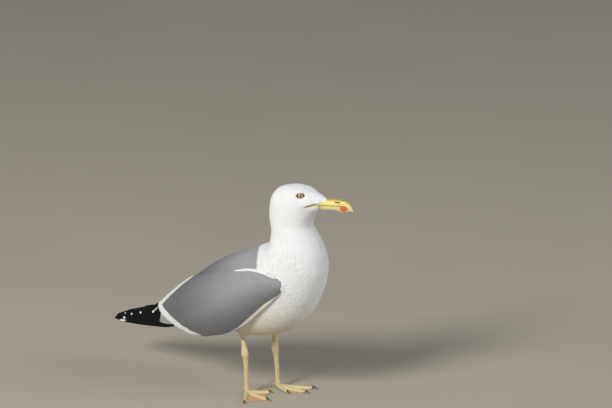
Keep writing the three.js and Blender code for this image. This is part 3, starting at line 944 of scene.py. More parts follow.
def wing_solid(name, side, outer, inner, shrink):
    """The folded wing from outer to inner under its outer face, shrink inside its outline. An
    inner of 0 is the frame's own inner face."""
    wing = WingSurface(WING_SECTIONS, side)

    def place(t, angle):
        edges = through(WING_SECTIONS[:, [0, 1, 2]], t)
        half = (edges[..., 1] - edges[..., 2]) / 2 - shrink
        pole = (t <= 0) | (t >= 1)
        up = np.where(pole, 0, np.cos(angle))
        z = (edges[..., 1] + edges[..., 2]) / 2 + np.maximum(half, 0.0003) * up
        x = np.clip(edges[..., 0], WING_TIP + 6 * shrink, WING_BEND - shrink)
        across = np.where(pole, 0, np.sin(angle))
        across = np.sign(across) * np.abs(across) ** 0.4
        front = np.minimum(1, 0.35 + 4 * t)
        full = front * (0.006 + (0.0026 - 0.006) * np.minimum(1, 1.5 * t))
        inner_face = inner or np.maximum(full - 0.0003, outer + 0.0005)
        depth = outer + (inner_face - outer) * (1 - across) / 2
        return np.stack([x, side * (wing.out(x, z) - depth), z], -1) + HEELS

    return shaped(name, 40, 80, place)


def snout():
    """The feathered lobe that runs out over the base of the upper mandible."""
    def place(t, angle):
        ahead = 0.040 + 0.026 * t
        ridge = np.interp(ahead, UPPER_BILL[:, 0], UPPER_BILL[:, 1]) + SNOUT_DEPTH
        foot = np.full_like(ahead, 0.3392)
        wide = np.interp(ahead, [0.044, 0.050, 0.060, 0.066], [0.0100, 0.0092, 0.0080, 0.0074])
        round_off = np.sqrt(np.clip(np.minimum(t, 1 - t) / 0.05, 0, 1))
        height = (ridge + foot) / 2 + (ridge - foot) / 2 * np.cos(angle) * round_off
        spread_out = wide * np.sqrt(np.clip(1 - ((height - foot) / (ridge - foot)) ** 2.2, 0.02, 1))
        return on_head(ahead, np.sin(angle) * np.maximum(spread_out, 0.002) * round_off, height)

    return shaped("snout", 48, 40, place)


SNOUT_DEPTH = 0.0010
# How thick the slab of each wing's arm is that the body's outline takes in.
ARM_DEPTH = 0.018
BROW_BULGE = 0.0009
FORM_VOXEL = 0.0016


def body_form():
    """The smooth outline of head, neck, trunk and thighs, with the wings' arms let in."""
    parts = [shaped("body", 96, 176, body_surface), snout()]
    for side in (-1, 1):
        arm = wing_solid("arm", side, 0, ARM_DEPTH, 0)
        cut = {"plane_co": (HEELS[0] + WING_ARM_END, 0, 0), "plane_no": (1, 0, 0),
               "use_fill": True, "clear_inner": True}
        edit(arm, (bpy.ops.mesh.bisect, cut))
        parts.append(arm)
    parts += [copy_of("thigh_right"), copy_of("thigh_left")]
    form = joined("skin", parts)
    modified(form, "REMESH", mode="VOXEL", voxel_size=FORM_VOXEL, use_smooth_shade=True)
    modified(form, "SMOOTH", factor=0.5, iterations=6)
    points = vertices_of(form)
    away = from_eye(points)
    _, out = head_place(points)
    above = ramp(-0.002, 0.003, points[:, 2] - RING_HEIGHT) * ramp(0.0120, 0.0175, np.abs(out))
    brow = ramp(1.0, 1.4, away) * fall(1.7, 3.0, away) * above
    points = points + normals_of(form) * (BROW_BULGE * brow)[:, None]
    set_vertices(form, drawn_in(socketed(browed(points))))
    return form


# How far the face is brought in or out toward the plane of the lids, and sunk behind the eyeballs.
FACE_SHIFT = (-0.0015, 0.0018)
SOCKET_DEPTH = 0.0040
# The narrow core that the face keeps under the bill's base: half its width, and its heights.
CORE_HALF = 0.0050
CORE_HEIGHTS = (0.3315, 0.3445)


def lid_plane(ahead, height):
    """How far out the plane of the lids lies at places on the side view of the head."""
    return LID_OUT - LID_SLOPE[0] * (ahead - RING_AHEAD) - LID_SLOPE[1] * (height - RING_HEIGHT)


def browed(points):
    """Brings the face around each eye toward the plane of its lids."""
    ahead, out = head_place(points)
    away = from_eye(points)
    change = np.clip(lid_plane(ahead, points[:, 2]) - np.abs(out), *FACE_SHIFT)
    share = fall(1.15, 2.0, away) * ramp(0.0125, 0.0165, np.abs(out))
    return on_head(ahead, out + np.sign(out) * change * share, points[:, 2])


def ball_out(ahead, height):
    """How far out the eyeball's surface stands at places on the side view of the head."""
    across = (ahead - EYE_AHEAD) ** 2 + (height - EYE_HEIGHT) ** 2
    return EYE_OUT + np.sqrt(np.maximum(EYE_RADIUS**2 - across, 0))


def socketed(points):
    """Sinks the skin behind each eyeball inside the lids."""
    ahead, out = head_place(points)
    away = from_eye(points)
    sunk = np.minimum(np.abs(out), ball_out(ahead, points[:, 2]) - SOCKET_DEPTH)
    share = fall(0.78, 0.92, away)
    out = np.where(away < 1.1, np.sign(out) * (np.abs(out) * (1 - share) + sunk * share), out)
    return on_head(ahead, out, points[:, 2])


def drawn_in(points):
    """Draws the face in past its feather line, so that the bill's base shows there."""
    ahead, out = head_place(points)
    height = points[:, 2]
    bare = ramp(0.0, 0.0010, past_feather_line(points)) * (height > 0.326) * (ahead > 0.034)
    slim = np.clip(out, -CORE_HALF, CORE_HALF)
    low = np.clip(height, *CORE_HEIGHTS)
    inward = on_head(ahead, out * (1 - bare) + slim * bare, height * (1 - bare) + low * bare)
    return np.where(bare[:, None] > 0, inward, points)


# How far out from the head's middle the search for its outline starts.
FACE_REACH = 0.04


def on_face(side, ahead, height):
    """Places on the face's outline, from places on the side view of the head."""
    start = on_head(ahead, np.full(len(ahead), side * FACE_REACH), height)
    inward = on_head(0, -side, 0) - on_head(0, 0, 0)
    return np.array([tuple(SHELL["surface"].tree.ray_cast(p, inward)[0]) for p in start])


# Where no feather has its root: above the chin past the feather line, as near as this to an eye's
# middle, in widths of its ring, and as near as this to the corner of the mouth.
CHIN = 0.3262
EYE_BARE = 0.9
GAPE_BARE = 0.0016

# Tracts of the coat: name, spacing, length and breadth in spacings, depth of the roots.
TRACTS = (
    ("face", 0.0014, 3.6, 2.3, 0.00030),
    ("head", 0.0020, 3.6, 2.3, 0.00034),
    ("throat", 0.0028, 3.6, 2.2, 0.00042),
    ("neck", 0.0038, 3.7, 2.2, 0.0005),
    ("body", 0.0050, 3.8, 2.1, 0.0006),
    ("mantle", 0.0062, 3.9, 2.1, 0.0006),
    ("thighs", 0.0024, 3.6, 2.2, 0.0005),
)
# The height over the heels from which each of the upper tracts starts.
TRACT_FEET = (("neck", 0.250), ("throat", 0.282), ("head", 0.308))


def tract_of(points, wing):
    """The tract of each place on the body, or an empty name where no feather has its root."""
    x, y, z = np.moveaxis(points - HEELS, -1, 0)
    ahead, _ = head_place(points)
    tract = np.full(len(points), "body", "U6")
    for name, foot in TRACT_FEET:
        tract[z > foot] = name
    tract[(tract == "head") & ((ahead > 0.030) | (from_eye(points) < 2.0))] = "face"
    tract[body_marks(points, wing)[:, 0] > 0.5] = "mantle"
    tract[(z < 0.1) & (np.abs(y) > 0.008) & (x > -0.03) & (x < 0.045)] = "thighs"
    tract[(past_feather_line(points) > -0.0002) & (points[:, 2] > CHIN)] = ""
    tract[(from_eye(points) < EYE_BARE) | (from_gape(points) < GAPE_BARE)] = ""
    tract[on_wing(points, wing, 0.0)] = ""
    return tract


def from_gape(points):
    """How far points on the side of the head lie from the bare corner of the mouth."""
    ahead, out = head_place(points)
    spot = np.stack([ahead, points[..., 2]], -1)
    away = [from_line(spot, a, b) for a, b in zip(GAPE[:-1, :2], GAPE[1:, :2])]
    return np.where(np.abs(out) > 0.005, np.min(away, axis=0), 1.0)


def shortened(surface, roots, sizes, wing):
    """Roots and sizes of the vanes that can be cut so that they stay clear of the eyes, the mouth
    and the wings."""
    heading = surface.headings(roots)
    lengths = sizes[:, 0].copy()
    over = 0.0035 - 0.0028 * ramp(0.045, 0.070, roots[:, 0] - HEELS[0])
    todo = np.ones(len(roots), bool)
    for share in (1.0, 0.8, 0.6, 0.45, 0.3):
        tips = roots + heading * (lengths * share)[:, None]
        middles = roots + heading * (lengths * share * 0.6)[:, None]
        clear = ~on_wing(tips, wing, over)
        for spots, eye_gap, gape_gap in ((tips, 0.98, 0.0018), (middles, 1.02, 0.0024)):
            clear &= (from_eye(spots) > eye_gap) & (from_gape(spots) > gape_gap)
        sizes[todo & clear, 0] *= share
        todo &= ~clear
    return roots[~todo], sizes[~todo]


class GULL_OT_body(bpy.types.Operator):
    """Model the skin and the small feathers of head, neck, trunk and thighs"""
    bl_idname = "gull.body"
    bl_label = "Body"

    def execute(self, context):
        form = body_form()
        edit(form, (bpy.ops.uv.smart_project, {"angle_limit": 1.15, "island_margin": 0.002}))
        form.data.uv_layers[0].name = "Skin"
        surface = BodySurface(form)
        SHELL["surface"] = surface
        SHELL["unwrap"] = unwrap_of(form)
        wing = WingSurface(WING_SECTIONS, 1)
        form.data.calc_loop_triangles()
        corners = vertices_of(form)[np.array([t.vertices[:] for t in form.data.loop_triangles])]
        tract = tract_of(corners.mean(1), wing)
        finish = plumage("plumage_soft", 0.1)
        vane = feather_form("small_vane", 2, [(0, 0.4), (0.45, 0.95), (0.8, 1), (1, 0.55)])
        longer = feather_form("body_vane", 2, [(0, 0.35), (0.35, 0.85), (0.65, 1), (0.88, 0.88), (1, 0.5)])
        for number, (name, gap, long, broad, sink) in enumerate(TRACTS):
            rng = np.random.default_rng(SEED + number)
            roots = spread(corners[tract == name], gap, rng)
            count = len(roots)
            size = np.stack([gap * long * rng.uniform(0.9, 1.15, count),
                             gap * broad * rng.uniform(0.9, 1.1, count)], -1)
            roots, size = shortened(surface, roots, size, wing)
            count = len(roots)
            swing = rng.normal(0, 0.10, count)
            form_used = longer if name in ("body", "mantle") else vane
            lifts = rng.uniform(-0.00004, 0.00004, count)[:, None]
            vanes, ups = lay(form_used, surface, roots, size, sink, swing, 0.00005 + 0.010 * gap, lifts)
            own = body_marks(vanes, wing)
            piece = coat("coat_" + name, form_used, vanes, ups, own, rng.normal(0, 0.012, count),
                         SHELL["unwrap"](roots), finish)
            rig.ride(piece, "root")
            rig.slot(piece, "grey_plumage" if name == "mantle" else "white_plumage")
        points = vertices_of(form)
        set_vertices(form, points - normals_of(form) * coat_depth(points, wing)[:, None])
        give(form.data, "Marks", skin_marks(points, wing))
        form.data.materials.clear()
        form.data.materials.append(skin_finish())
        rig.ride(form, "root")
        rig.slot(form, "white_plumage")
        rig.replaces(form, "head", "neck", "trunk", "thigh_right", "thigh_left", "wing_right", "wing_left")
        return {"FINISHED"}


def coat_depth(points, wing):
    """How far the skin lies under the outline that the coat's tips reach."""
    sizes = bpy.context.scene.gull_sizes
    depth = sizes.body_coat + (sizes.face_coat - sizes.body_coat) * ramp(0.24, 0.31, points[:, 2])
    return np.where(on_wing(points, wing, 0.002), sizes.wing_coat, depth)


def unwrap_of(form):
    """A function from places near the skin to their places on its unwrap."""
    mesh = form.data
    mesh.calc_loop_triangles()
    corners = np.array([t.loops[:] for t in mesh.loop_triangles])
    triangles = np.array([t.vertices[:] for t in mesh.loop_triangles])
    flat = np.empty(len(mesh.loops) * 2)
    mesh.uv_layers[0].uv.foreach_get("vector", flat)
    flat = flat.reshape(-1, 2)
    points = vertices_of(form)
    tree = BVHTree.FromPolygons(points.tolist(), triangles.tolist(), all_triangles=True)

    def place(roots):
        found = [tree.find_nearest(p)[2] for p in roots]
        a, b, c = (points[triangles[found, k]] for k in range(3))
        whole = np.linalg.norm(np.cross(b - a, c - a), axis=1)
        one = np.linalg.norm(np.cross(roots - b, roots - c), axis=1) / whole
        two = np.linalg.norm(np.cross(roots - c, roots - a), axis=1) / whole
        total = one + two + np.linalg.norm(np.cross(roots - a, roots - b), axis=1) / whole
        one, two = (one / total)[:, None], (two / total)[:, None]
        u, v, w = (flat[corners[found, k]] for k in range(3))
        return u * one + v * two + w * (1 - one - two)

    return place


def skin_finish():
    """The skin under the coat, with the coat's markings and painted shade, and a downy bump."""
    finish = Finish("skin_down", {"Roughness": 0.9})
    finish.feed("Base Color", plumage_colour(finish))
    finish.bump(finish.noise(700.0), 0.3, 0.0004)
    return finish.material


# ---------------------------------------------------------------- wings and tail

SIDES = (("right", -1), ("left", 1))
# The way that a folded wing's feathers point, down to the rear, in x and z.
WING_LIE = np.array((-1, -0.30)) / math.hypot(1, 0.30)
# Each row of wing feathers by how far its tips lie ahead of the wing's rear edge: length and width.
WING_ROWS = metres([
    (0, 58, 19), (30, 50, 17), (70, 38, 14), (120, 26, 10.8),
    (200, 18, 8.2), (320, 12, 6.2),
])
ROW_STEP = 0.30
TIP_REACH = 0.0012
# How deep under a wing's outer face its lining lies, and how far inside its outline.
LINING_DEPTH = 0.0024
LINING_MARGIN = 0.0015
SHOWN_WIDTH = 0.56
LENGTH_SHARES = np.linspace(0, 1, 21)


def wing_rows(wing, rng):
    """Roots and sizes of the wing's feathers, in rows from its rear edge forwards."""
    across = np.array((WING_LIE[1], -WING_LIE[0]))
    reach = np.linspace(-0.16, 0.26, 800)
    roots, sizes = [], []
    ahead, row = 0.0, 0
    while ahead < WING_ROWS[-1, 0]:
        long, broad = (np.interp(ahead, WING_ROWS[:, 0], WING_ROWS[:, k]) for k in (1, 2))
        shown = SHOWN_WIDTH * broad
        lines = np.arange(0.100 + shown * (row % 2) / 2, 0.225, shown)
        lines = lines + rng.uniform(-0.06, 0.06, len(lines)) * broad
        grid = reach[:, None, None] * WING_LIE + lines[None, :, None] * across
        inside = wing.inside(grid[..., 0], grid[..., 1], 0.0002)
        rear = np.where(inside, reach[:, None], -1).max(0)
        ends = rear - ahead + rng.uniform(-0.03, 0.03, len(lines)) * long * (row > 0)
        tips = ends[:, None] * WING_LIE + lines[:, None] * across
        back = tips[:, None] - WING_LIE * (long * LENGTH_SHARES[:, None])
        within = np.logical_and.accumulate(wing.inside(back[..., 0], back[..., 1], 0.0), axis=1)
        share = within.sum(1) / len(LENGTH_SHARES)
        kept = (rear > -1) & (share > 0.2)
        share = share[kept, None]
        roots.append(tips[kept] - WING_LIE * long * share)
        sizes.append(np.hstack([long * share, broad * np.maximum(share, 0.6)]))
        ahead += ROW_STEP * long
        row += 1
    return np.concatenate(roots), np.concatenate(sizes)


class GULL_OT_wings(bpy.types.Operator):
    """Model the folded wings' linings and their rows of coverts, secondaries and tertials"""
    bl_idname = "gull.wings"
    bl_label = "Wings"

    def execute(self, context):
        finish = plumage("plumage_wing", 0.2)
        skin = bpy.data.materials["skin_down"]
        stations = [(0, 0.35), (0.22, 0.72), (0.48, 0.97), (0.72, 1), (0.88, 0.88), (0.96, 0.62), (1, 0.3)]
        form = feather_form("covert", 4, stations)
        for name, side in SIDES:
            rng = np.random.default_rng(SEED + 50 + side)
            wing = WingSurface(WING_SECTIONS, side)
            lining = wing_solid("lining_" + name, side, LINING_DEPTH, 0, LINING_MARGIN)
            give(lining.data, "Marks", wing_marks(vertices_of(lining), wing))
            lining.data.materials.append(skin)
            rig.ride(lining, "root")
            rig.slot(lining, "grey_plumage")
            flat, size = wing_rows(wing, rng)
            roots = wing.place(flat[:, 0], flat[:, 1])
            ends = flat + WING_LIE * size[:, :1]
            size[:, 0] = np.linalg.norm(wing.place(ends[:, 0], ends[:, 1]) - roots, axis=1) + TIP_REACH
            wing.aims = roots + np.array((WING_LIE[0], 0, WING_LIE[1])) * 5
            count = len(roots)
            size = size * rng.uniform(0.97, 1.03, (count, 1))
            swing = rng.normal(0, 0.03, count)
            sink = 0.0010 + 0.020 * size[:, 0]
            lift = rng.uniform(-0.0001, 0.0001, count)[:, None]
            vanes, ups = lay(form, wing, roots, size, sink, swing, 0.0005, lift, side * 0.05)
            piece = coat("coverts_" + name, form, vanes, ups, wing_marks(vanes, wing),
                         rng.normal(0, 0.014, count), SHELL["unwrap"](roots), finish)
            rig.ride(piece, "root")
            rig.slot(piece, "grey_plumage")
        return {"FINISHED"}


# The folded primaries from the innermost, which lies on top: root and tip, as x and height.
PRIMARIES = metres([
    (-146, 107, -219, 108), (-146, 104, -249, 97), (-146, 101, -272.5, 89.5),
    (-146, 98, -293.5, 82.5), (-146, 93, -309, 75.5), (-146, 88, -317.3, 66.5),
])
# White marks on them: middle as x and height, reach along and up, and tilt in degrees.
PRIMARY_SPOTS = metres([
    (-209.8, 109.1, 8.8, 1.6, 47), (-215, 104, 3.4, 2.4, 30),
    (-190, 109, 6, 3.6, 25), (-248.1, 95, 3, 2.2, 0),
    (-271.6, 87.5, 3, 2.2, 0), (-290, 84.5, 2, 1.8, 0),
    (-290, 77, 4, 2.6, 10), (-295, 71.2, 12.5, 2.3, 12),
], 1)
BLACK_REAR = 0.1945


def primary_marks(points):
    """Black with white spots and tips, and grey where the innermost start."""
    x, _, z = np.moveaxis(points - HEELS, -1, 0)
    spot = np.full(x.shape, -1.0)
    for px, pz, rx, rz, tilt in PRIMARY_SPOTS:
        cos, sin = direction(tilt)
        along, up = (x - px) * cos + (z - pz) * sin, (z - pz) * cos - (x - px) * sin
        away = np.hypot(along / rx, up / rz)
        spot = np.maximum(spot, (1 - away) * min(rx, rz))
    patch = np.minimum(x + BLACK_REAR, z - 0.0908 - 0.2 * np.maximum(x + 0.181, 0))
    white = edge_mark(spot)
    dark = np.minimum(edge_mark(-patch), 1.5 - white)
    return np.stack([1 - np.clip(white, 0, 1), dark, np.zeros_like(x)], -1)


# How far each primary lies under the last, and the breadth of a tail feather.
PRIMARY_STEP = 0.00055
TAIL_WIDTH = 0.013


def layered(form, surface, ends, widths, deep, sunk, thick, reach):
    """Lays long feathers straight from their roots to their tips, each deep under the surface."""
    roots, tips = ends
    surface.aims = roots + (tips - roots) * 20
    size = np.column_stack([np.linalg.norm(tips - roots, axis=1) + reach, widths])
    return lay(form, surface, roots, size, deep + sunk, thick=thick, lift=-deep[:, None])


def in_row(count, margin):
    """Places on an unwrap, side by side across its middle."""
    return np.column_stack([np.linspace(margin, 1 - margin, count), np.full(count, 0.5)])


class GULL_OT_primaries(bpy.types.Operator):
    """Model the black wing tips, one long feather at a time"""
    bl_idname = "gull.primaries"
    bl_label = "Primaries"

    def execute(self, context):
        finish = plumage("plumage_primary", 0.5, 0.06)
        along = np.concatenate([np.linspace(0, 0.58, 6), np.linspace(0.6, 1, 28)])
        broad = np.interp(along, [0, 0.3, 0.7, 0.86, 0.95, 1], [0.7, 1, 1, 0.94, 0.74, 0.34])
        form = feather_form("primary", 16, np.column_stack([along, broad]))
        for name, side in SIDES:
            rng = np.random.default_rng(SEED + 60 + side)
            wing = WingSurface(PRIMARY_SECTIONS, side)
            ends = [wing.place(PRIMARIES[:, k], PRIMARIES[:, k + 1]) for k in (0, 2)]
            count = len(PRIMARIES)
            vanes, ups = layered(form, wing, ends, np.linspace(0.022, 0.019, count),
                                 PRIMARY_STEP * np.arange(count), 0.0004, 0.0006, TIP_REACH)
            piece = coat("primary_feathers_" + name, form, vanes, ups, primary_marks(vanes),
                         rng.normal(0, 0.02, count), in_row(count, 0.1), finish)
            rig.ride(piece, "root")
            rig.slot(piece, "black_plumage")
            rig.replaces(piece, "primaries_" + name)
        return {"FINISHED"}


class GULL_OT_tail(bpy.types.Operator):
    """Model the closed white tail, feather by feather"""
    bl_idname = "gull.tail"
    bl_label = "Tail"

    def execute(self, context):
        rng = np.random.default_rng(SEED + 70)
        finish = plumage("plumage_tail", 0.4)
        along = np.concatenate([np.linspace(0, 0.8, 8), np.linspace(0.87, 1, 5)])
        broad = np.interp(along, [0, 0.3, 0.9, 0.97, 1], [0.4, 0.9, 1, 0.86, 0.5])
        form = feather_form("tail_feather", 6, np.column_stack([along, broad]))
        pair = np.repeat(np.arange(6), 2)
        side = np.tile((1, -1), 6)
        root_y, tip_y = side * (0.0010 + 0.0008 * pair), side * (0.0015 + 0.0024 * pair)
        tail = TailSurface()
        level = np.zeros(12)
        roots = tail.drop(np.column_stack([level - 0.162, root_y, level]) + HEELS)[0]
        tips = tail.drop(np.column_stack([-0.2565 + 0.0008 * pair, tip_y, level]) + HEELS)[0]
        deep = 0.00032 * pair + 0.0001 * (side > 0)
        vanes, ups = layered(form, tail, (roots, tips), np.full(12, TAIL_WIDTH), deep, 0, 0.0005, 0)
        piece = coat("tail_feathers", form, vanes, ups, np.zeros(vanes.shape),
                     rng.normal(0, 0.01, 12), in_row(12, 0.05), finish)
        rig.ride(piece, "root")
        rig.slot(piece, "white_plumage")
        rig.replaces(piece, "tail")
        return {"FINISHED"}


# ---------------------------------------------------------------- bill, mouth and eyes

# Stations of each mandible from its base: the ridge and the cutting edge as places ahead of the
# head's pivot and heights, and half its width.
UPPER_BILL = metres([
    (34, 344, 34, 339.5, 14), (37, 346.2, 37, 338.4, 14.9),
    (40.5, 346.8, 40.5, 337.9, 13.8), (45, 347.2, 45, 337.5, 11.8),
    (50, 347.7, 50, 337.3, 9.8), (55, 348, 55, 337.3, 8.4),
    (62, 348.2, 62, 337.5, 7.4), (72, 348.6, 72, 338, 6.3),
    (83, 348.5, 83, 338.9, 5.5), (91.5, 347.1, 90.5, 338.4, 4.8),
    (97.6, 343.4, 95.5, 336, 4), (101.4, 338.4, 99.2, 333, 2.9),
    (103.4, 333.2, 101.6, 330.8, 1.6), (103.7, 330.2, 103.2, 329.8, 0.5),
])
LOWER_BILL = metres([
    (36, 330, 36, 337.4, 11.8), (40, 328.5, 40, 337.4, 11),
    (46, 327.9, 46, 337.1, 9.4), (52, 327.9, 52, 337, 7.8),
    (64, 329, 64, 337.2, 6.2), (76, 328.9, 76, 337.9, 5.3),
    (87, 327.1, 88, 338.1, 4.5), (93.5, 328.4, 93.5, 335.8, 3.5),
    (97.5, 330.1, 97, 333.2, 2), (99.3, 331.2, 99, 332, 0.5),
])
NOSTRIL = np.array([(0.0738, 0.3441), (0.0812, 0.3440)])
# Hollows of the upper mandible, the nostril's slit and the groove before it: line, depth, and the
# distances between which each fades.
HOLLOWS = (
    (NOSTRIL, 0.0012, 0.0004, 0.0013),
    ((np.array((0.060, 0.3425)), NOSTRIL[0]), 0.0004, 0.0005, 0.0020),
)
RED_SPOT = (0.0879, 0.3342, 0.0080, 0.0066)
# How strong the ivory is that paints a highlight along the cutting edges and covers the whole lower mandible, and how
# strong the painted shade is on the ridge.
EDGE_IVORY = 0.60
CULMEN_DARK = 0.52


def from_line(points, start, end):
    """Distance of points in a plane from the straight line between two places."""
    along = end - start
    share = np.clip((points - start) @ along / (along @ along), 0, 1)
    return np.linalg.norm(points - start - share[..., None] * along, axis=-1)


def mandible(name, rings):
    """One mandible: an arch over a flat cutting edge, closed at both ends."""
    def place(t, angle):
        ridge = through(rings[:, [0, 1, 4]], t)
        edge = through(rings[:, [2, 3, 4]], t)
        rise = np.where(np.cos(angle) > 0, np.maximum(np.cos(angle), 0) ** 0.85, -0.05 * np.cos(angle) ** 2)
        pole = (t <= 0) | (t >= 1)
        rise = np.where(pole, 0.4, rise)
        spot = edge[..., :2] + (ridge[..., :2] - edge[..., :2]) * rise[..., None]
        out = np.where(pole, 0, edge[..., 2] * np.sin(angle))
        if name == "bill_upper":
            for line, deep, near, far in HOLLOWS:
                hollow = deep * fall(near, far, from_line(spot, *line))
                out = out - np.sign(out) * hollow * (np.abs(out) > 0.002)
        return on_head(spot[..., 0], out, spot[..., 1])

    return shaped(name.replace("bill", "mandible"), 96, 150, place)


def bill_finish():
    finish = Finish("bill_horn", {"Roughness": 0.42, "Subsurface Weight": 0.12, "Subsurface Scale": 0.004,
                                  "Coat Weight": 0.06, "Coat Roughness": 0.3})
    red, ivory, dark = finish.marks()
    # Ivory also paints a highlight on the cutting edges, and the dark mask is painted shade.
    finish.paint("yellow", (ivory, "ivory"), (red, "red"), (dark, "nostril"))
    streaks = finish.noise(260.0, 4.0)
    finish.feed("Roughness", streaks * 0.25 + 0.32)
    finish.bump(streaks, 0.25, 0.0003)
    return finish.material


class GULL_OT_bill(bpy.types.Operator):
    """Model both mandibles with their nostrils, red spot, a painted highlight along the cutting edges, and painted
    shade in the nostrils, between the mandibles and on the ridge
    """
    bl_idname = "gull.bill"
    bl_label = "Bill"

    def execute(self, context):
        finish = bill_finish()
        for name, rings in (("bill_upper", UPPER_BILL), ("bill_lower", LOWER_BILL)):
            piece = mandible(name, rings)
            points = vertices_of(piece)
            ahead, _ = head_place(points)
            spot = np.column_stack([ahead, points[:, 2]])
            edge = np.interp(ahead, rings[:, 2], rings[:, 3])
            near = np.abs(points[:, 2] - edge)
            red = 0
            # Painted shadow along the line where the mandibles meet.
            dark = 0.55 * fall(0.0001, 0.0006, near) * fall(0.085, 0.095, ahead)
            # Ivory at the tip, and a painted highlight along the cutting edges.
            ivory = np.maximum(ramp(0.090, 0.101, ahead), EDGE_IVORY * fall(0.0004, 0.0024, near))
            if name == "bill_lower":
                x, z, rx, rz = RED_SPOT
                red = fall(0.50, 1.10, np.hypot((ahead - x) / rx, (points[:, 2] - z) / rz))
                ivory = np.maximum(ivory, EDGE_IVORY)
            else:
                # Painted shade in the nostril's slit.
                dark = np.maximum(dark, fall(0.0006, 0.0012, from_line(spot, *NOSTRIL)))
                # Painted shade along the ridge.
                ridge = np.interp(ahead, rings[:, 0], rings[:, 1])
                dark = np.maximum(dark, CULMEN_DARK * fall(0.0004, 0.0036, ridge - points[:, 2]))
            mark(piece, red, ivory, dark)
            piece.data.materials.append(finish)
            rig.ride(piece, "root")
            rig.slot(piece, "bill_horn")
            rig.replaces(piece, name)
        return {"FINISHED"}


# The bare corner of the mouth from its rear end to the bill: ahead, height and half its width.
GAPE = metres([
    (27.8, 335.6, 0.3), (29.8, 336.2, 0.6), (32.5, 337, 0.9), (36, 337.9, 1.2),
    (39.5, 338.1, 1.3), (43, 337.9, 1.2), (46.2, 337.8, 1.2), (48.6, 337.7, 1.1),
])


class GULL_OT_gape(bpy.types.Operator):
    """Model the bare skin that runs from the bill to the corners of the mouth"""
    bl_idname = "gull.gape"
    bl_label = "Mouth"

    def execute(self, context):
        finish = Finish("gape_skin", {"Roughness": 0.4, "Subsurface Weight": 0.1,
                                      "Subsurface Scale": 0.003})
        rear, _, dark = finish.marks()
        # The dark mask is painted shadow along the mouth's line.
        finish.paint("yellow", (rear, "lid"), (dark, "nostril"))
        strips = []
        for side in (-1, 1):
            def place(t, angle):
                path = through(GAPE, t)
                lip = np.sin(angle)
                rise = 0.0008 * np.maximum(np.cos(angle), -0.4) * np.minimum(1, path[..., 2] / 0.001)
                rise = rise - 0.0006 * fall(0.05, 0.35, np.abs(lip)) * (np.cos(angle) > 0)
                spots = on_face(side, path[..., 0], path[..., 1] + path[..., 2] * lip)
                return spots + SHELL["surface"].drop(spots)[1] * (rise - 0.0001)[:, None]

            strips.append(shaped("gape", 32, 60, place))
        piece = joined("gape", strips)
        points = vertices_of(piece)
        ahead, _ = head_place(points)
        line = np.interp(ahead, GAPE[:, 0], GAPE[:, 1])
        # Painted shadow along the mouth's line.
        dark = 0.6 * fall(0.0001, 0.0005, np.abs(points[:, 2] - line))
        rear = fall(0.033, 0.042, ahead)
        mark(piece, rear, 0, dark)
        piece.data.materials.append(finish.material)
        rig.ride(piece, "root")
        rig.slot(piece, "bill_horn")
        return {"FINISHED"}


LID_SCALE = (0.26, 0.06, 0.02, 1)
LID_EDGE = (0.045, 0.022, 0.012, 1)
IRIS_FLECK = (0.42, 0.24, 0.09, 1)
IRIS_EDGE = (0.05, 0.025, 0.012, 1)
PUPIL_BLACK = (0.004, 0.004, 0.004, 1)
PUPIL = 0.0021
IRIS_RIM = 0.0045
CORNEA_RISE = 0.0005
# What the back of each eyeball counts as its distance from the pupil's middle.
PAST_IRIS = 0.008
LID_THICKNESS = 0.0005
# How far outside its rim each ring takes its height from the face, as a share of the rim.
RIM_CLEAR = 1.08
# How far the eyeball is drawn in where the lids and the face hide it.
BALL_TRIM = 0.0065


class GULL_OT_eyes(bpy.types.Operator):
    """Model the eyeballs and the bare rings of their lids"""
    bl_idname = "gull.eyes"
    bl_label = "Eyes"

    def execute(self, context):
        lids = Finish("eye_ring", {"Roughness": 0.45, "Subsurface Weight": 0.1, "Subsurface Scale": 0.002})
        grain = lids.noise(900.0, 3.0)
        # The lids' inner margin is painted shade where they meet the eyeball.
        lids.paint("lid", (grain * 0.35, LID_SCALE), (lids.marks()[0], LID_EDGE))
        lids.bump(grain, 0.5, 0.0003)
        cornea = eye_finish()
        for name, side in SIDES:
            ball = eyeball("eyeball_" + name, side)
            ball.data.materials.append(cornea)
            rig.ride(ball, "root")
            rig.slot(ball, "eye")
            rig.replaces(ball, "eye_" + name)
            ring = eye_ring("eye_ring_" + name, side)
            ring.data.materials.append(lids.material)
            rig.ride(ring, "root")
            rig.slot(ring, "bill_horn")
        return {"FINISHED"}


def eyeball(name, side):
    """An eyeball that looks out between its lids, with a low cornea, drawn in where it is hidden."""
    ball = primitive(name, bpy.ops.mesh.primitive_uv_sphere_add,
                     segments=64, ring_count=40, radius=EYE_RADIUS)
    outward = Vector(on_head(LID_SLOPE[0], side, LID_SLOPE[1]) - on_head(0, 0, 0))
    facing = outward.to_track_quat("Z", "Y").to_matrix()
    local = vertices_of(ball)
    away = np.hypot(local[:, 0], local[:, 1])
    local[:, 2] += CORNEA_RISE * fall(0.002, 0.0058, away) * (local[:, 2] > 0)
    give(ball.data, "Away", np.where(local[:, 2] > 0, away, PAST_IRIS))
    centre = Vector(on_head(EYE_AHEAD, side * EYE_OUT, EYE_HEIGHT))
    placed = local @ np.array(facing).T + np.array(centre)
    ahead, out = head_place(placed)
    hidden = np.hypot((ahead - RING_AHEAD) / LID_OPENING[0],
                      (placed[:, 2] - RING_HEIGHT) / LID_OPENING[1])
    depth = np.abs(out) - BALL_TRIM * ramp(1.02, 1.35, hidden)
    set_vertices(ball, on_head(ahead, side * depth, placed[:, 2]))
    bpy.ops.object.shade_smooth()
    return ball


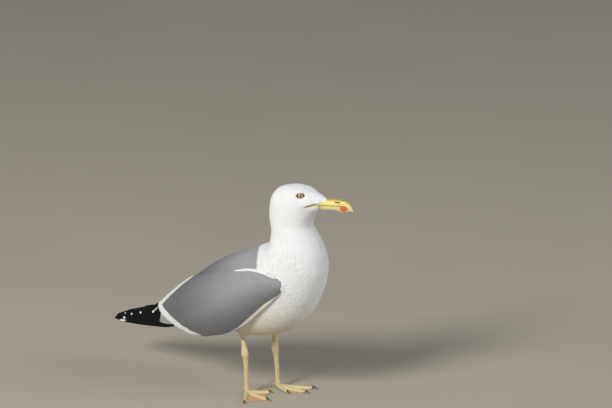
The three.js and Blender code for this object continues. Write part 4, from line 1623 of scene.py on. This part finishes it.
def eye_finish():
    """A pale iris with a dark rim, fine flecks and a small round pupil under a clear cornea."""
    finish = Finish("eye_clear", {"Roughness": 0.4, "Coat Weight": 0.5, "Coat Roughness": 0.02})
    away = finish.attribute("Away") * 1000.0
    pupil = (1.0 - (away - PUPIL * 1000 + 0.15) * 3.5).clamped()
    rim = ((away - IRIS_RIM * 1000 + 0.9) * 1.1).clamped()
    flecks = (finish.noise(1300.0, 4.0) - 0.45).clamped() * 1.4
    finish.paint("iris", (flecks, IRIS_FLECK), (rim, IRIS_EDGE), (pupil, PUPIL_BLACK))
    return finish.material


def eye_ring(name, side):
    """The bare lids: a low band from the eyeball out to the feathers, pointed at its corners."""
    tube = 0.25
    ring = primitive(name, bpy.ops.mesh.primitive_torus_add,
                     major_segments=96, minor_segments=20, major_radius=1, minor_radius=tube)
    local = vertices_of(ring)
    angle = np.arctan2(local[:, 1], local[:, 0])
    across = (np.hypot(local[:, 0], local[:, 1]) - 1) / tube
    height = local[:, 2] / tube
    corner = 1 + 0.05 * np.abs(np.cos(angle)) ** 8
    share = np.clip((across + 1) / 2, 0, 1)
    a = np.cos(angle) * (LID_OPENING[0] * (1 - share) + RING_OUTER[0] * corner * share)
    h = np.sin(angle) * (LID_OPENING[1] * (1 - share) + RING_OUTER[1] * share)
    rim_a, rim_h = np.cos(angle) * RING_OUTER[0] * corner, np.sin(angle) * RING_OUTER[1]
    beyond = on_face(side, RING_AHEAD + RIM_CLEAR * rim_a, RING_HEIGHT + RIM_CLEAR * rim_h)
    _, face_out = head_place(beyond)
    lid = ball_out(RING_AHEAD + a, RING_HEIGHT + h)
    inner = RING_AHEAD + np.cos(angle) * LID_OPENING[0], RING_HEIGHT + np.sin(angle) * LID_OPENING[1]
    edge = np.maximum(ball_out(*inner), lid_plane(*inner) - 0.0009)
    slope = edge + (np.abs(face_out) - 0.0001 - edge) * share**0.7
    out = np.maximum(slope, lid) + LID_THICKNESS * (0.4 + height)
    set_vertices(ring, on_head(RING_AHEAD + a, side * out, RING_HEIGHT + h))
    # Painted shade along the inner margin, where the lids meet the eyeball.
    mark(ring, 0.85 * fall(0.25, 0.65, share), 0, 0)
    return faired(ring)


# ---------------------------------------------------------------- legs

# Each leg's ankle, the joint of its toes, and its front toes as heading in degrees and length.
# Places are measured from the heels.
LEGS = {
    "right": ((-0.0145, -0.027, 0.070), (-0.015, -0.022), ((-54, 0.060), (-9, 0.059), (44, 0.044))),
    "left": ((0.002, 0.030, 0.068), (0.002, 0.037), ((31, 0.066), (5, 0.064), (-24, 0.043))),
}
TOE_JOINT_HEIGHT = 0.007
SCUTE = 0.0030
TOE_SCUTE = 0.0024
GROOVE_DEPTH = 0.00022
LEG_DUST = (0.16, 0.10, 0.045, 1)
CLAW_LENGTH = 0.010


def toe_lines(name):
    """The start, end and heading of each front toe's middle line."""
    _, joint, toes = LEGS[name]
    start = np.array((*joint, 0.0042)) + HEELS
    for turn, long in toes:
        ahead = np.array((*direction(turn), 0))
        yield start, start + ahead * long, ahead


def seams(along, gap):
    """Narrow peaks, one every gap."""
    return (0.5 + 0.5 * np.cos(2 * np.pi * along / gap)) ** 6


def scutes(name, points, normals):
    """How deep the seams between a leg's plates are at its points, 0 to 1, and how far the points
    lie from the nearest toe."""
    ankle, joint, _ = LEGS[name]
    ankle, joint = np.array(ankle) + HEELS, np.array((*joint, TOE_JOINT_HEIGHT)) + HEELS
    along = (points - joint) @ unit(ankle - joint)
    face = normals[:, 0] * 0.9 + np.abs(normals[:, 1]) * 0.15
    groove = seams(along, SCUTE) * ramp(0.1, 0.5, face) * ramp(0.006, 0.010, along)
    groove = groove * fall(0.054, 0.060, along)
    toe_near = np.full(len(points), 1.0)
    for start, end, ahead in toe_lines(name):
        reach = (points - start) @ ahead
        aside = np.linalg.norm(points[:, :2] - start[:2] - reach[:, None] * ahead[:2], axis=1)
        on_toe = (reach > 0.004) & (reach < np.linalg.norm(end - start))
        toe_near = np.minimum(toe_near, np.where(on_toe, aside, 1.0))
        band = seams(reach, TOE_SCUTE) * on_toe * fall(0.0022, 0.0034, aside)
        groove = np.maximum(groove, band * ramp(0.3, 0.7, normals[:, 2]))
    return groove, toe_near


class GULL_OT_legs(bpy.types.Operator):
    """Model the bare legs and webbed feet with their scutes"""
    bl_idname = "gull.legs"
    bl_label = "Legs"

    def execute(self, context):
        finish = Finish("leg_scales", {"Roughness": 0.5, "Subsurface Weight": 0.08,
                                       "Subsurface Scale": 0.004})
        web, shadow, _ = finish.marks()
        patches = finish.noise(120.0, 3.0)
        # The second mask darkens the seams between the scutes and paints shade under the feet, mottled by noise.
        finish.paint("leg", (web, "web"), (shadow * (patches * 0.8 + 0.4), LEG_DUST))
        cells = finish.node("ShaderNodeTexVoronoi", {"feature": "DISTANCE_TO_EDGE"},
                            {"Vector": finish.place(), "Scale": 900.0})
        finish.bump((cells * 6.0).clamped(), 0.35, 0.0003)
        for name, _ in SIDES:
            leg = joined("scaled_leg_" + name, [copy_of("leg_" + name), copy_of("foot_" + name)])
            modified(leg, "REMESH", mode="VOXEL", voxel_size=0.0006, use_smooth_shade=True)
            modified(leg, "SMOOTH", factor=0.5, iterations=5)
            points, normals = vertices_of(leg), normals_of(leg)
            groove, toe_near = scutes(name, points, normals)
            set_vertices(leg, points - normals * (GROOVE_DEPTH * groove)[:, None])
            low = fall(0.0055, 0.0075, points[:, 2])
            webbed = low * ramp(0.0028, 0.0042, toe_near)
            # Dark seams between the scutes, and painted shade where the feet face down.
            dark = np.maximum(0.5 * groove, 0.5 * low * fall(0.2, 0.8, normals[:, 2] + 0.6))
            mark(leg, webbed, dark, 0)
            leg.data.materials.clear()
            leg.data.materials.append(finish.material)
            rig.ride(leg, "root")
            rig.slot(leg, "leg_skin")
            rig.replaces(leg, "leg_" + name, "foot_" + name)
        return {"FINISHED"}


class GULL_OT_claws(bpy.types.Operator):
    """Model the curved claws"""
    bl_idname = "gull.claws"
    bl_label = "Claws"

    def execute(self, context):
        claw = (*context.scene.gull_colours.claw, 1.0)
        finish = Finish("claw_horn", {"Roughness": 0.35, "Base Color": claw})
        for name, _ in SIDES:
            claws = []
            for start, end, ahead in toe_lines(name):
                tip = start + ahead * (np.linalg.norm(end - start) + 0.0004)
                side = np.cross(ahead, (0, 0, 1))

                def place(t, angle):
                    along = (t - 1) * CLAW_LENGTH
                    round_off = np.sqrt(np.clip(t / 0.12, 0, 1)) * (1 - t) ** 0.7
                    middle = 0.0034 - 0.0028 * t**1.6 + 0.0010 * np.sin(np.pi * t)
                    up = np.cos(angle) * 0.0022 * round_off
                    out = np.sin(angle) * 0.0017 * round_off
                    height = np.maximum(middle + up, 0.0002)
                    spot = tip + ahead * along[:, None] + side * out[:, None]
                    return np.column_stack([spot[:, :2], height])

                claws.append(shaped("claw", 24, 24, place))
            piece = joined("claws_" + name, claws)
            piece.data.materials.append(finish.material)
            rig.ride(piece, "root")
            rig.slot(piece, "bill_horn")
        return {"FINISHED"}


class GULL_OT_stage(bpy.types.Operator):
    """Lay the floor and set the lights and the camera"""
    bl_idname = "gull.stage"
    bl_label = "Stage"

    def execute(self, context):
        floor = primitive("floor", bpy.ops.mesh.primitive_circle_add,
                          vertices=96, radius=FLOOR_RADIUS, fill_type="NGON")
        finish = Finish("studio_floor", {"Roughness": 0.9})
        soft = finish.noise(3.0) * 0.04
        tone = finish.node("ShaderNodeCombineColor", inputs=[soft, soft, soft])
        finish.feed("Base Color", finish.mix(1.0, "floor", tone, "ADD"))
        floor.data.materials.append(finish.material)
        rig.stage(floor)
        right, back, up = view_axes(CAMERA_AZIMUTH, CAMERA_ELEVATION)
        target = right * FRAME_CENTRE[0] + up * FRAME_CENTRE[1] + Vector(HEELS)
        lens = bpy.data.cameras.new("camera")
        lens.sensor_width = SENSOR_WIDTH
        lens.lens = CAMERA_LENS
        lens.clip_start, lens.clip_end = 0.1, 100
        context.scene.camera = looking("camera", lens, target + back * CAMERA_DISTANCE, back)
        world = bpy.data.worlds.new("studio")
        world.use_nodes = True
        sky = world.node_tree.nodes["Background"].inputs
        sky["Color"].default_value = SKY_COLOUR
        sky["Strength"].default_value = SKY_STRENGTH
        context.scene.world = world
        context.scene.view_settings.view_transform = "Standard"
        for name, azimuth, elevation, size, watts, warmth in LIGHTS:
            lamp = bpy.data.lights.new(name, "AREA")
            lamp.shape = "DISK"
            lamp.size = size
            lamp.energy = watts
            lamp.color = warmth
            _, away, _ = view_axes(azimuth, elevation)
            looking(name, lamp, Vector(HEELS) + LIT_POINT + away * LIGHT_DISTANCE, away)
        return {"FINISHED"}


def looking(name, data, place, back):
    """Puts up a camera or a lamp that looks the opposite way to back."""
    obj = bpy.data.objects.new(name, data)
    obj.location = place
    obj.rotation_euler = back.to_track_quat("Z", "Y").to_euler()
    bpy.context.collection.objects.link(obj)
    return obj


CAMERA_AZIMUTH = 40
CAMERA_ELEVATION = 15
CAMERA_DISTANCE = 8.36
# In millimetres.
CAMERA_LENS = 300
SENSOR_WIDTH = 36
# The middle of the picture, to the right and up in the camera's own plane through the heels.
FRAME_CENTRE = (0.0713, 0.3090)
LIGHT_DISTANCE = 5.0
# The place that the lamps point at, over the heels.
LIT_POINT = Vector((0, 0, 0.2))
SKY_COLOUR = (0.80, 0.82, 0.86, 1)
SKY_STRENGTH = 0.33
FLOOR_RADIUS = 30
# Name, direction, size, power and colour of each lamp.
LIGHTS = (
    ("key", 2, 33, 1.7, 212, (1.0, 0.97, 0.92)),
    ("fill", 112, 24, 3.0, 78, (0.96, 0.98, 1.0)),
)


def view_axes(azimuth, elevation):
    """Right, back and up of a view from that azimuth and elevation in degrees."""
    east, north = direction(azimuth)
    level, rise = direction(elevation)
    right = Vector((east, north, 0))
    back = Vector((north * level, -east * level, rise))
    return right, back, back.cross(right)


class GULL_PT_panel(bpy.types.Panel):
    """The gull's pieces, colours and sizes"""
    bl_idname = "GULL_PT_panel"
    bl_label = "Gull"
    bl_space_type = "VIEW_3D"
    bl_region_type = "UI"
    bl_category = "Gull"

    def draw(self, context):
        for operator in OPERATORS:
            self.layout.operator(operator.bl_idname)
        for group in (context.scene.gull_colours, context.scene.gull_sizes):
            for name in group.bl_rna.properties.keys():
                if name not in ("rna_type", "name"):
                    self.layout.prop(group, name)


OPERATORS = tuple(c for c in list(globals().values())
                  if isinstance(c, type) and issubclass(c, bpy.types.Operator))
CLASSES = (GullColours, GullSizes, *OPERATORS, GULL_PT_panel)


def register():
    for cls in CLASSES:
        bpy.utils.register_class(cls)
    bpy.types.Scene.gull_colours = PointerProperty(type=GullColours)
    bpy.types.Scene.gull_sizes = PointerProperty(type=GullSizes)


def unregister():
    del bpy.types.Scene.gull_sizes
    del bpy.types.Scene.gull_colours
    for cls in reversed(CLASSES):
        bpy.utils.unregister_class(cls)


def main():
    register()
    for operator in OPERATORS:
        group, name = operator.bl_idname.split(".")
        getattr(getattr(bpy.ops, group), name)()
    sizes = {"frame": [list(v) for v in FRAME_BOX], "visual": [list(v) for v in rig.bounds()]}
    with open("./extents.json", "w") as file:
        json.dump(sizes, file)


if __name__ == "__main__":
    main()
